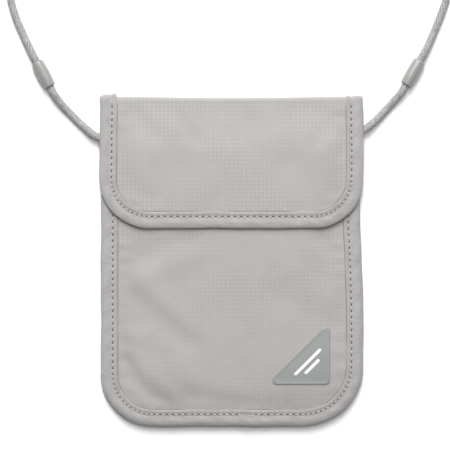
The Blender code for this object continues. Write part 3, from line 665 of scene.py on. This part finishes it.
# %% Heights of the layers
SEAM_REACH, SEAM_FREE = 9.3, 9.0
RISE_WIDTH = 26.0
FOLD_RISE = 28.0
UNDER_FLAP = 18.0
BODY_CREASES = [
    ((-17, 15), (-64, -8), 6.5, 0.55), ((-62, -8), (-20, -46), 6.0, 0.5), ((-62, -50), (-34, -79), 5.5, 0.7),
    ((-58, -36), (-44, -40), 5.0, -0.35), ((20, -16), (62, -34), 9.0, 0.3), ((62, -2), (44, 14), 5.0, 0.3),
    ((-30, -70), (16, -80), 6.0, 0.35), ((6, -40), (24, -66), 9.0, 0.22),
]
FLAP_CREASES = [
    ((-54, 83), (-38, 65), 4.5, 0.42), ((-31, 83), (-16, 62), 4.5, 0.4), ((60, 78), (42, 60), 4.5, 0.4),
    ((28, 56), (46, 42), 8.0, 0.3), ((-58, 44), (-40, 32), 5.0, 0.25), ((4, 80), (16, 70), 5.0, 0.2),
]
PLEAT_DIRECTIONS = rng.uniform(0, np.pi, 9)
PLEAT_LENGTHS = rng.uniform(14, 46, 9)
PLEAT_STARTS = rng.uniform(0, TURN, 9)


def rise(t, power=2.2):
    """0 at the seam and 1 in the middle, steep first and flat later: 1 - (1 - t) ** power."""
    return 1 - (1 - np.clip(t, 0, 1)) ** power


def off_fold(y, reach=FOLD_RISE):
    """0 at the fold, and 1 from reach below it."""
    return smooth((FOLD_Y - y) / reach)


def dome(x, y, shape):
    """How far the filling lifts a point, from 0 at seam and fold to 1 in the middle."""
    return rise((inset(x, y, shape) - SEAM_REACH) / RISE_WIDTH) * off_fold(y)


def creases(x, y, folds):
    """The sum of the folds. Each is minus a bell curve of the distance from its line, plus a lower
    one beside it, and fades out at the line's two ends."""
    total = np.zeros_like(x)
    for (x0, y0), (x1, y1), width, depth in folds:
        length = np.hypot(x1 - x0, y1 - y0)
        ux, uy = (x1 - x0) / length, (y1 - y0) / length
        along = ((x - x0) * ux + (y - y0) * uy) / length
        aside = (y - y0) * ux - (x - x0) * uy + 1.6 * np.sin(along * 3.0)
        ends = smooth(along / 0.3 + 0.5) * smooth((1 - along) / 0.3 + 0.5)
        valley = bell(aside, 0, width) - 0.55 * bell(aside, 1.5 * width, width)
        total = total - depth * ends * valley
    return total


def drift(x, y):
    """Faint waves in nine seeded directions, longer waves being higher."""
    total = np.zeros_like(x)
    for way, length, start in zip(PLEAT_DIRECTIONS, PLEAT_LENGTHS, PLEAT_STARTS):
        total = total + length * np.sin((x * np.cos(way) + y * np.sin(way)) * TURN / length + start)
    return total * 0.0011


def puckers(x, y, shape):
    """Small waves square to the seam, where stitching gathers the cloth, gone 9 mm further in."""
    d = inset(x, y, shape)
    along = np.where(np.abs(x) > 48, y, x)
    wave = np.sin(along * TURN / 8.5 + 2 * np.sin(along / 17.0)) * (0.6 + 0.4 * np.sin(along / 11.0))
    return 0.16 * wave * bell(np.maximum(d, 10), 10, 6.5) * smooth((d - 8.6) / 2)


def front_height(x, y):
    """The middle of the front shell, which is smooth under the flap."""
    shown = smooth((UNDER_FLAP - y) / 8)
    free = smooth((inset(x, y, BODY) - SEAM_FREE) / 8)
    detail = free * (1.25 * creases(x, y, BODY_CREASES) + drift(x, y)) + puckers(x, y, BODY)
    return 5.3 + 2.2 * dome(x, y, BODY) + shown * detail


def back_height(x, y):
    """The middle of the back shell, which the table holds flat."""
    return 3.15 - 3.0 * dome(x, y, BODY) + 0.5 * np.abs(puckers(x, y, BODY))


def hem_lift(x, y):
    """How much the closed strips under the flap lift its middle, away from the fold."""
    return 1.5 * smooth((61 - np.abs(x)) / 13) * off_fold(y)


def flap_height(x, y):
    """The middle of the flap's shell."""
    free = smooth((inset(x, y, FLAP) - SEAM_FREE) / 8)
    detail = 0.75 * free * (creases(x, y, FLAP_CREASES) + drift(x, y)) + puckers(x, y, FLAP)
    return 7.75 + hem_lift(x, y) + 0.55 * dome(x, y, FLAP) + off_fold(y, 6) * detail


print("front rises to", round(float(front_height(np.array(0.0), np.array(0.0))), 2), "mm")

# %% [markdown]
# ## Cloth pieces
# A cloth piece is a grid of rows across the pouch, each as wide as the outline lets it be 6 mm in
# from the edge, so its raw edge is hidden in the folded tape, as on the real one. The flap's two
# cloths run on over the top edge, which is the hinge.


# %% Cut and lay the cloth
def cut(shape, low, high, margin=6.0, step=1.0):
    """Rows from low to high; each row spreads evenly between the outline's two sides, margin
    further in. In a corner of radius R the half width is W - R + sqrt((R - margin)^2 - drop^2)."""
    rows = int(round((high - low) / step)) + 1
    columns = int(round(2 * (HALF_WIDTH - margin) / step)) + 1
    y = np.linspace(low, high, rows)
    sides = []
    for sign, radius, key in ((-1, shape["corners"][0], "left"), (1, shape["corners"][1], "right")):
        drop = np.clip(shape["end"] + radius - y, 0, radius - margin)
        half = HALF_WIDTH - radius + np.sqrt((radius - margin) ** 2 - drop**2)
        sides.append(sign * (half + swell(y, shape[key]) * smooth(half / 40)))
    t = np.linspace(0, 1, columns)[None]
    x = sides[0][:, None] * (1 - t) + sides[1][:, None] * t
    return x, np.broadcast_to(y[:, None], x.shape)


def lay(name, x, y, height, thickness, material, slot, body, nodes=()):
    """A cloth of that thickness, its middle at height, riding on a body and replacing CAD nodes."""
    outer = np.stack([x, y, height + thickness / 2], -1)
    inner = np.stack([x, y, height - thickness / 2], -1)
    return dress(slab(name, outer, inner, np.stack([x, y], -1)), material, body, nodes)


CLOTH = 0.3
ZIP_Y = 57.5
PANEL_TOP, YOKE_LOW, MOUTH_Y = 55.0, 60.0, 69.5
HIDDEN_EDGE = 6.0
low = BODY["end"] + HIDDEN_EDGE
shell = (CLOTH, body_cloth, "shell_cloth", "root")
lining = (CLOTH, lining_cloth, "lining_cloth", "root")
x, y = cut(BODY, low, PANEL_TOP)
front_shell = lay("front_shell", x, y, front_height(x, y), *shell, ["front_panel"])
x, y = cut(BODY, YOKE_LOW, MOUTH_Y)
yoke = lay("front_yoke_cloth", x, y, front_height(x, y), *shell, ["front_yoke"])
x, y = cut(BODY, low, FOLD_Y)
back_shell = lay("back_shell", x, y, back_height(x, y), *shell, ["back_panel"])
inside = 3.75 - 2.4 * dome(x, y, BODY) + 0.5 * drift(x, y) * off_fold(y, 8)
back_lining = lay("back_lining_cloth", x, y, inside, *lining, ["back_lining"])
x, y = cut(BODY, low, MOUTH_Y - 0.6)
front_lining = lay("front_lining_cloth", x, y, 4.35 + 1.95 * dome(x, y, BODY), *lining, ["front_lining"])
print("cloths laid:", front_shell.name, yoke.name, back_shell.name, back_lining.name, front_lining.name)

# %% The flap's cloths, over the fold
FOLD_ROWS = 24
FOLD_DIP = 0.3


def flat_turn(a):
    """The cosine of a, made to stay near 1 and -1 for longer: its size to the power 0.6."""
    return np.sign(np.cos(a)) * np.abs(np.cos(a)) ** 0.6


def over_the_fold(row, dip=0.0):
    """Rows that carry a row at the fold line half a turn about the hinge, a from 0 to pi, with
    r = z - FOLD_Z: y grows by r sin(a), less in the middle, and z is FOLD_Z + r cos(a) flattened."""
    a = np.linspace(0, np.pi, FOLD_ROWS + 1)[1:, None]
    radius = row[:, 2] - FOLD_Z
    reach = 1 - dip * np.cos(row[:, 0] / HALF_WIDTH * np.pi / 2) ** 2
    rows = np.broadcast_arrays(row[:, 0], row[:, 1] + radius * reach * np.sin(a), FOLD_Z + radius * flat_turn(a))
    return np.stack(rows, -1)


def bend_at_fold(piece):
    """Bakes the piece's transform into its mesh."""
    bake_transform(piece)


def lay_flap(name, height, thickness, material, nodes):
    """A cloth of the flap, with its last row carried on over the fold to the back."""
    x, y = cut(FLAP, FLAP["end"] + HIDDEN_EDGE, FOLD_Y)
    sheets = []
    for offset in (thickness / 2, -thickness / 2):
        flat = np.stack([x, y, height(x, y) + offset], -1)
        sheets.append(np.concatenate([flat, over_the_fold(flat[-1], FOLD_DIP)]))
    middle = (sheets[0] + sheets[1]) / 2
    steps = np.linalg.norm(np.diff(middle[len(y) - 1:], axis=0), axis=-1).cumsum(axis=0)
    walk = np.concatenate([y, FOLD_Y + steps])
    piece = slab(name, *sheets, np.stack([middle[..., 0], walk], -1))
    bend_at_fold(piece)
    return dress(piece, material, nodes=nodes)


flap_shell = lay_flap("flap_shell", flap_height, CLOTH, shell_cloth, ["flap_outer", "flap_fold"])
flap_lining = lay_flap(
    "flap_lining_cloth", lambda x, y: flap_height(x, y) - 0.6, 0.25, lining_cloth, ["flap_lining"]
)
print("flap laid", len(flap_shell.data.polygons), "faces")

# %% Blocking foil between the layers
FOIL, FOIL_MARGIN = 0.1, 21.0
BELOW_FRONT, ABOVE_BACK = 0.62, 0.6
low = BODY["end"] + FOIL_MARGIN
x, y = cut(BODY, low, 52.0, FOIL_MARGIN, 2.5)
lay(
    "front_blocking_foil", x, y, front_height(x, y) - BELOW_FRONT, FOIL, foil,
    "shield_foil", "root", ["front_shield"],
)
x, y = cut(BODY, low, 64.0, FOIL_MARGIN, 2.5)
lay(
    "back_blocking_foil", x, y, back_height(x, y) + ABOVE_BACK, FOIL, foil,
    "shield_foil", "root", ["back_shield"],
)
print("foil sealed in")

# %% [markdown]
# ## The bound edge
# The binding is one long tape folded in half over the raw edges and sewn through. Its section is
# carried along the outline: a puffed outer band, a channel where the stitches pull it down, and a
# narrow lip that casts a thin shadow on the cloth, made darker by a thin dark tube of painted shadow
# laid under it. At the fold the flap's section turns round the hinge, so flap and body stay one band.

# %% The tape's section
TAPE_REACH = 9.1
TAPE_THICKNESS = 0.45
CROWN_AT, CHANNEL_AT, LIP_AT = 3.2, 6.4, 7.8
STITCH_PITCH = 3.4
FIRST_STITCH = 0.5


def band_section(middle, crown, channel, lip, edge):
    """Distances inwards and heights above the middle of the upper half: a quarter ellipse up to the
    crown, half a cosine down to the channel, half a cosine up to the lip, a quarter ellipse down."""
    a = np.linspace(0, np.pi / 2, 7)
    b = np.linspace(0, np.pi, 7)[1:]
    c = np.linspace(0, np.pi, 5)[1:]
    e = np.linspace(0, np.pi / 2, 6)[1:]
    d = np.concatenate([
        CROWN_AT * (1 - np.cos(a)), CROWN_AT + (CHANNEL_AT - CROWN_AT) * b / np.pi,
        CHANNEL_AT + (LIP_AT - CHANNEL_AT) * c / np.pi, LIP_AT + (TAPE_REACH - LIP_AT) * np.sin(e),
    ])
    z = np.concatenate([
        middle + (crown - middle) * np.sin(a), channel + (crown - channel) * (1 + np.cos(b)) / 2,
        channel + (lip - channel) * (1 - np.cos(c)) / 2, edge + (lip - edge) * np.sqrt(np.abs(np.cos(e))),
    ])
    return d, z


def both_sides(upper, lower):
    """The whole section, from the upper lip round the nose to the lower lip."""
    d = np.concatenate([upper[0][::-1], lower[0][1:]])
    z = np.concatenate([upper[1][::-1], lower[1][1:]])
    return d, z


body_middle, flap_middle = 4.03, 7.3
body_d, body_z = both_sides(
    band_section(body_middle, 5.95, 5.62, 5.92, 5.3), band_section(body_middle, 2.12, 2.45, 2.15, 2.8)
)
flap_d, flap_z = both_sides(
    band_section(flap_middle, 8.5, 8.08, 8.42, 7.85), band_section(flap_middle, 6.15, 6.5, 6.25, 6.8)
)
half_count = len(flap_d) // 2
print("section of", len(flap_d), "points")


# %% Carry the section along the outline
def inner_section(d, z, middle):
    """The section again, one thickness further in on every side."""
    inside = 0.5 + d * (TAPE_REACH - 0.5) / TAPE_REACH
    gap = z - middle
    return inside, middle + np.sign(gap) * np.maximum(np.abs(gap) - TAPE_THICKNESS, 0.06)


def gathers(walk, d):
    """The channel dips at each needle hole, half way between threads, and slow waves fill the band."""
    pull = 0.10 * np.cos((walk / STITCH_PITCH - FIRST_STITCH) * TURN)
    full = 0.10 * np.sin(walk / 1.9 + 0.5 * d + 1.6 * np.sin(walk / 9.7)) + 0.07 * np.sin(walk / 6.3 - 0.4 * d)
    small = 0.05 * np.cos(walk * TURN / STITCH_PITCH + 1.2 * np.sin(walk / 5.1))
    return full * bell(d, CROWN_AT, 2.2) + pull * bell(d, CHANNEL_AT, 1.5) + small * bell(d, 4.6, 1.6)


def bound_edge(edge, d, z, lift=0.0):
    """Points P = outline + inwards * d at height z, with the gathers and the given lift added."""
    line, inwards, walk = edge
    wander = 0.12 * np.sin(walk / 8.3) + 0.08 * np.sin(walk / 3.7 + 1)
    at_fold = smooth(np.minimum(walk, walk[-1] - walk) / 10)
    place = line[:, None] + inwards[:, None] * (d[None] + (wander * at_fold)[:, None])[..., None]
    count = d.shape[-1]
    upper = np.where(np.arange(count) < count // 2, 1.0, -1.0)[None]
    if callable(lift):
        lift = lift(place[..., 0], place[..., 1])
    height = z + gathers(walk[:, None], d[None]) * upper + lift
    return np.concatenate([place, np.broadcast_to(height, place.shape[:2])[..., None]], -1)


def tape_uv(walk, d, z):
    """Millimetres along the tape, and round its section."""
    across = np.append(0, np.cumsum(np.hypot(np.diff(d), np.diff(z))))
    return np.stack(np.broadcast_arrays(walk[:, None], across[None]), -1)


LAP_START, LAP_LENGTH, LAP_LIFT = 4.0, 11.0, 0.32
NEAR_FOLD = 15.0
FOLD_TAPE_LENGTH = 9.4
LIP_SHADOW_RADIUS = 0.22


def body_tape():
    """The body's band. Near the fold its heights run over, within 15 mm, into those of the flap's
    band turned half way round the hinge; at the lap its end lies on its beginning."""
    line = body_edge[0]
    share = off_fold(line[:, 1], NEAR_FOLD)[:, None]
    turned_z = (2 * FOLD_Z - flap_z[::-1])[None]
    z = turned_z * (1 - share) + body_z[None] * share
    middle = (2 * FOLD_Z - flap_middle) * (1 - share) + body_middle * share
    at_base = (line[:, 1] < BODY["end"] + 1).astype(float)
    lap = smooth((line[:, 0] - LAP_START) / 0.9) * smooth((LAP_START + LAP_LENGTH - line[:, 0]) / 6)
    lap = (lap * at_base)[:, None] * LAP_LIFT * (np.arange(len(body_d)) < half_count)[None]
    outer = bound_edge(body_edge, body_d, z + lap)
    inner = bound_edge(body_edge, *inner_section(body_d, z, middle))
    return slab("body_binding_tape", outer, inner, tape_uv(body_edge[2], body_d, body_z))


def flap_tape():
    """The flap's band, lifted in the middle of the hem by the closed strips under it, and carried
    over the fold at both ends."""
    sheets = []
    for d, z in ((flap_d, flap_z[None]), inner_section(flap_d, flap_z[None], flap_middle)):
        band = bound_edge(flap_edge, d, z, hem_lift)
        sheets.append(np.concatenate([over_the_fold(band[0])[::-1], band, over_the_fold(band[-1])]))
    turned_walk = np.linspace(0, FOLD_TAPE_LENGTH, FOLD_ROWS + 1)[1:]
    walk = flap_edge[2]
    walk = np.concatenate([-turned_walk[::-1], walk, walk[-1] + turned_walk])
    return slab("flap_binding_tape", *sheets, tape_uv(walk, flap_d, flap_z))


def lip_shadow_line(name, edge, top, height, body):
    """A thin dark tube of painted shadow, half under the tape's lip all along it, up to y = top."""
    line, inwards, _ = edge
    place = (line + inwards * (TAPE_REACH + 0.1))[line[:, 1] < top]
    path = np.column_stack([place, height(place[:, 0], place[:, 1]) + 0.1])
    piece = tube(name, path, LIP_SHADOW_RADIUS, 6, np.zeros((len(path), 6, 2)))
    dress(piece, painted_lip_shadow, body)


body_binding = dress(body_tape(), binding_tape, "root", ["body_binding"])
flap_binding = dress(flap_tape(), binding_tape, nodes=["flap_binding"])
bend_at_fold(flap_binding)
# Painted shadow: a thin dark tube under the tape's lip, on the body and on the flap.
lip_shadow_line("body_selvedge", body_edge, MOUTH_Y, front_height, "root")
lip_shadow_line("flap_selvedge", flap_edge, FOLD_Y - 2, flap_height, "flap")
print("bindings", len(body_binding.data.polygons), len(flap_binding.data.polygons), "faces")

# %% [markdown]
# ## Stitches
# A lockstitch shows as short rounded threads with a needle hole between each pair. The hole is not
# cut; a flattened dark capsule of painted shade stands for it. Each thread is a tiny turned capsule,
# repeated along the channel of the tape, a few dozen faces apiece.

# %% Shapes of a thread and a hole
THREAD_LENGTH = 2.1
a = np.linspace(0, np.pi, 7)
thread_shape = turned(np.stack([-np.cos(a) * THREAD_LENGTH / 2, 0.3 * np.sin(a) ** 0.6], -1), 6)
hole_shape = turned(np.stack([-np.cos(a) * 0.66, 0.31 * np.sin(a) ** 0.7], -1), 8)


def stitch_row(name, edge, depth, height, body, pitch=STITCH_PITCH):
    """Threads along a line that lies depth inwards, each half sunk, and dark capsules of painted shade for the
    needle holes half a pitch on.
    """
    line, inwards, walk = edge
    for kind, shape, shift, lift, flatness, material in (
        ("threads", thread_shape, 0.0, 0.08, 1.0, thread), ("holes", hole_shape, 0.5, -0.05, 0.55, painted_hole_shade),
    ):
        at = (np.arange(int(walk[-1] / pitch) + 1) + FIRST_STITCH + shift) * pitch
        at = at[at < walk[-1] - 0.8 * THREAD_LENGTH]
        x, y = (np.interp(at, walk, (line + inwards * depth)[:, k]) for k in (0, 1))
        ahead = unit(np.stack([np.interp(at, walk, np.gradient(line[:, k])) for k in (0, 1)], -1))
        axes = np.zeros((len(at), 3, 3))
        axes[:, 0, :2] = ahead
        axes[:, 1, :2] = ahead[:, ::-1] * (-1, 1)
        axes[:, 2, 2] = flatness
        piece = repeated(f"{name}_{kind}", shape, np.stack([x, y, height(x, y) + lift], -1), axes)
        dress(piece, material, body)


def body_stitch_height(away, folded):
    """Runs from one height away from the fold to another at the fold."""
    return lambda x, y: away * off_fold(y, NEAR_FOLD) + folded * (1 - off_fold(y, NEAR_FOLD))


stitch_row("body_front_stitch", body_edge, CHANNEL_AT, body_stitch_height(5.66, 2 * FOLD_Z - 6.5), "root")
stitch_row("body_back_stitch", body_edge, CHANNEL_AT, body_stitch_height(2.4, 2 * FOLD_Z - 8.08), "root")
stitch_row("flap_front_stitch", flap_edge, CHANNEL_AT, lambda x, y: 8.12 + hem_lift(x, y), "flap")
stitch_row("flap_back_stitch", flap_edge, CHANNEL_AT, lambda x, y: 6.46 + hem_lift(x, y), "flap")
print("stitches sewn")


# %% Straight rows of stitches
def on_front(x, y):
    """A hair above the outer face of the front shell."""
    return front_height(x, y) + CLOTH / 2 + 0.04


for name, level in (("panel_hem_stitch", 53.4), ("yoke_zip_stitch", 61.6), ("yoke_mouth_stitch", 67.9)):
    line = np.stack([np.linspace(-60, 60, 60), np.full(60, level)], -1)
    stitch_row(name, (line, np.zeros_like(line), line[:, 0] + 60), 0.0, on_front, "root", 2.6)
print("hems stitched")

# %% [markdown]
# ## The badge
# The badge is a moulded rubber corner piece: a right-angled triangle with rounded corners, a raised
# rim, and two slanting bars. It is a grid of rings that shrink to its middle, laid on the cloth's
# own height, so it follows the pouch's curve.

# %% The badge's plate
BADGE_CORNER = (52.6, -65.8)
BADGE_LEGS = (34.4, 34.2)
BADGE_ROUND = 2.4


def rounded_polygon(corners, radius, steps=10):
    """The polygon, anticlockwise, with each corner replaced by an arc of that radius."""
    corners = np.array(corners, float)
    before = unit(np.roll(corners, 1, axis=0) - corners)
    after = unit(np.roll(corners, -1, axis=0) - corners)
    half = np.arccos((before * after).sum(1)) / 2
    centre = corners + unit(before + after) * (radius / np.sin(half))[:, None]
    begin = corners + before * (radius / np.tan(half))[:, None] - centre
    spin = np.linspace(0, 1, steps)[None] * (np.pi - 2 * half)[:, None]
    x = begin[:, 0, None] * np.cos(spin) - begin[:, 1, None] * np.sin(spin)
    y = begin[:, 0, None] * np.sin(spin) + begin[:, 1, None] * np.cos(spin)
    return (centre[:, None] + np.stack([x, y], -1)).reshape(-1, 2)


def raised_plate(name, border, height_at, profile, material):
    """A closed plate inside a border: rings shrink towards the middle by the profile's first
    column (a share of the way in), at the height of its second above the surface below."""
    middle = border.mean(0)
    rings = middle + (border - middle) * (1 - profile[:, 0])[:, None, None]
    z = height_at(rings[..., 0], rings[..., 1]) + profile[:, 1, None]
    under = np.concatenate([border, height_at(border[:, 0], border[:, 1])[:, None] - 0.1], -1)[None]
    points = np.concatenate([under, np.concatenate([rings, z[..., None]], -1)])
    base, top = (np.append(middle, height_at(*middle) + above) for above in (-0.1, profile[-1, 1]))
    return dress(add_mesh(name, *closed_rings(points, base, top)), material, "root")


def under_badge(x, y):
    """The outer face of the front shell."""
    return front_height(x, y) + CLOTH / 2


BADGE_PROFILE = np.array([
    (0.0, 0.0), (0.0, 0.22), (0.012, 0.32), (0.03, 0.38), (0.06, 0.4), (0.09, 0.4), (0.11, 0.37),
    (0.125, 0.33), (0.15, 0.31), (0.25, 0.3), (0.4, 0.3), (0.55, 0.3), (0.7, 0.3), (0.85, 0.3), (0.95, 0.3),
])
right, low = BADGE_CORNER
long_x, long_y = BADGE_LEGS
badge_border = rounded_polygon([(right - long_x, low), (right, low), (right, low + long_y)], BADGE_ROUND)
walked, _ = evenly(np.vstack([badge_border, badge_border[:1]]), 0.6)
badge = raised_plate("badge_plate", walked[:-1], under_badge, BADGE_PROFILE, badge_rubber)
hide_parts("badge")
print("badge plate", len(badge.data.polygons), "faces")

# %% Bars on the badge
BAR_PROFILE = np.array([(0.0, 0.2), (0.0, 0.44), (0.1, 0.5), (0.3, 0.52), (0.6, 0.52), (0.9, 0.52)])
slant = unit(np.array(BADGE_LEGS))
across = np.array([slant[1], -slant[0]])
hypotenuse_middle = np.array([right - long_x / 2, low + long_y / 2])
for number, (distance, length, width) in enumerate(((7.2, 20.0, 1.7), (10.6, 11.0, 1.7)), 1):
    ends = np.array([(-1, 1), (-1, -1), (1, -1), (1, 1)]) * (length / 2, width / 2)
    corners = hypotenuse_middle + across * distance + ends @ [slant, across]
    (ax, ay), (bx, by) = np.diff(corners[:3], axis=0)
    border = rounded_polygon(corners if ax * by > ay * bx else corners[::-1], width * 0.42)
    border, _ = evenly(np.vstack([border, border[:1]]), 0.4)
    raised_plate(f"badge_bar_{number}", border[:-1], under_badge, BAR_PROFILE, badge_inlay)
print("badge bars placed")

# %% [markdown]
# ## The zip
# Under the flap a coil zip crosses the front. Each half of the coil is a nylon thread wound into a
# flattened spiral, sewn to its own tape, and the two halves mesh half a pitch apart. Slider, pull
# and end stops keep their CAD shapes and get a painted finish.

# %% Zip coils and tapes
COIL_PITCH = 1.25
COIL_HALF_LENGTH = 47.6


def zip_coil(name, side, node):
    """A flattened spiral along X: y = centre + 0.8 cos, z = centre + 0.42 sin of the turn."""
    turn = np.arange(0, 2 * COIL_HALF_LENGTH / COIL_PITCH * TURN, TURN / 14)
    shift = 0.0 if side > 0 else np.pi
    x = -COIL_HALF_LENGTH + turn / TURN * COIL_PITCH
    y = ZIP_Y + side * 0.72 + 0.86 * np.cos(turn + shift)
    z = 7.25 + 0.36 * np.sin(turn + shift)
    path = np.stack([x, y, z], -1)
    ahead = unit(np.gradient(path, axis=0))
    side_way = unit(np.cross(ahead, [1.0, 0, 0]))
    rings = rings_round(path, side_way, np.cross(side_way, ahead), 0.2, 6)
    piece = add_mesh(name, *closed_rings(rings, path[0], path[-1]))
    return dress(piece, zip_plastic, "root", [node])


for side, word in ((1, "upper"), (-1, "lower")):
    zip_coil(f"zip_coil_{word}_spiral", side, f"zip_coil_{word}")
    x, y = np.meshgrid(np.linspace(-57, 57, 115), np.linspace(ZIP_Y + side * 0.3, ZIP_Y + side * 5.6, 12))
    height = 6.62 - 0.9 * smooth((np.abs(x) - 46) / 12)
    lay(f"zip_tape_{word}_cloth", x, y, height, 0.25, zip_cloth, "zip_tape", "root", [f"zip_tape_{word}"])
print("zip made")

# %% [markdown]
# ## Hook and loop strips
# The flap closes on two woven strips: hooks under the flap, a pile of loops on the front. Each
# hook is a bent thread and each loop a small arch, a few dozen faces each, set in rows.

# %% Hooks and loops
STRIP_SIZE = (76.0, 11.0)
STRIP_Y = 44.0
LOOP_FACE, HOOK_FACE = 7.85, 8.86


def bent_thread(heights, reach, thickness=0.11, steps=9, around=5):
    """Points and faces of a thread bent in the XZ plane, closed with a pole at each end."""
    t = np.linspace(0, 1, steps)
    path = np.stack([reach(t), np.zeros(steps), heights(t)], -1)
    over = np.cross(unit(np.gradient(path, axis=0)), [0, 1.0, 0])
    rings = rings_round(path, np.array([[0, 1.0, 0]]), over, thickness, around)
    return closed_rings(rings, path[0], path[-1])


def strip(name, face_z, up, shape, pitch, body, turn_spread, material):
    """A woven base with its shape repeated in staggered rows, pointing up (1) or down (-1)."""
    width, depth = STRIP_SIZE
    low, high = STRIP_Y - depth / 2, STRIP_Y + depth / 2
    x, y = np.meshgrid(np.linspace(-width / 2, width / 2, 77), np.linspace(low, high, 12))
    lay(f"{name}_base", x, y, np.full_like(x, face_z), 0.3, strip_cloth, "hook_and_loop", body, [name])
    columns, rows = int(width / pitch) - 1, int(depth / pitch)
    i, j = np.meshgrid(np.arange(columns), np.arange(rows))
    px = (i - (columns - 1) / 2 + 0.25 * (-1.0) ** j) * pitch + rng.uniform(-0.12, 0.12, i.shape)
    py = STRIP_Y + (j - (rows - 1) / 2) * pitch + rng.uniform(-0.12, 0.12, i.shape)
    spin = rng.uniform(-turn_spread, turn_spread, i.size)
    axes = np.zeros((i.size, 3, 3))
    axes[:, 0, :2] = np.stack([np.cos(spin), np.sin(spin)], -1)
    axes[:, 1, :2] = np.stack([-np.sin(spin), np.cos(spin)], -1) * up
    axes[:, 2, 2] = up
    places = np.stack([px.ravel(), py.ravel(), np.full(i.size, face_z + up * 0.1)], -1)
    dress(repeated(f"{name}_pile", shape, places, axes), material, body)


hook = bent_thread(lambda t: 0.52 * np.sin(t * np.pi * 0.72), lambda t: 0.55 * t**1.6)
loop = bent_thread(lambda t: 0.42 * np.sin(t * np.pi), lambda t: 0.9 * (t - 0.5), 0.1)
strip("loop_strip", LOOP_FACE, 1, loop, 1.3, "root", 1.4, strip_cloth)
strip("hook_strip", HOOK_FACE, -1, hook, 1.5, "flap", 0.25, zip_plastic)
print("strips made")

# %% [markdown]
# ## Finishes on the CAD pieces that stay
# The slider, its pull, the stops, the bar tacks and the coil's tie have the right shape already,
# so each only gets its finish.

# %% CAD finishes
tie_finish = moulded("tie_rubber", "#4A4A4A", "#414141", 0.6, 1400.0, 0.05)
KEPT = dict.fromkeys(("zip_slider", "zip_pull", "zip_stop_left", "zip_stop_right"), zip_metal)
KEPT |= {"cord_tack_left": thread, "cord_tack_right": thread, "cord_tie": tie_finish}
for name, material in KEPT.items():
    node = bpy.data.objects[name]
    if not node.data.materials:
        node.data.materials.append(material)
    for k in range(len(node.material_slots)):
        node.material_slots[k].material = material
print("finished", list(KEPT))

# %% [markdown]
# ## The table
# A plain white sheet lies under everything. It is the stage, not part of the pouch.

# %% Table
table_white = speckled("matt_white_board", "#F7F7F7", "#FAFAFA", 30.0, Roughness=0.9)
FLOOR_HALF = 9000.0
corners = np.array([(-1, -1, 0), (1, -1, 0), (1, 1, 0), (-1, 1, 0)]) * FLOOR_HALF - [0, 0, 0.02]
table_top = add_mesh("table_top", corners, np.array([(0, 1, 2, 3)]), rounded=False)
table_top.data.materials.append(table_white)
table_top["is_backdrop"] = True
print("table laid")

# %% [markdown]
# ## The size of the scene
# The box round every piece that is shown, the table left out, is worked out and printed.

# %% Size of what is shown
low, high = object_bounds()
print("visual box", [round(v, 4) for v in (*low, *high)])
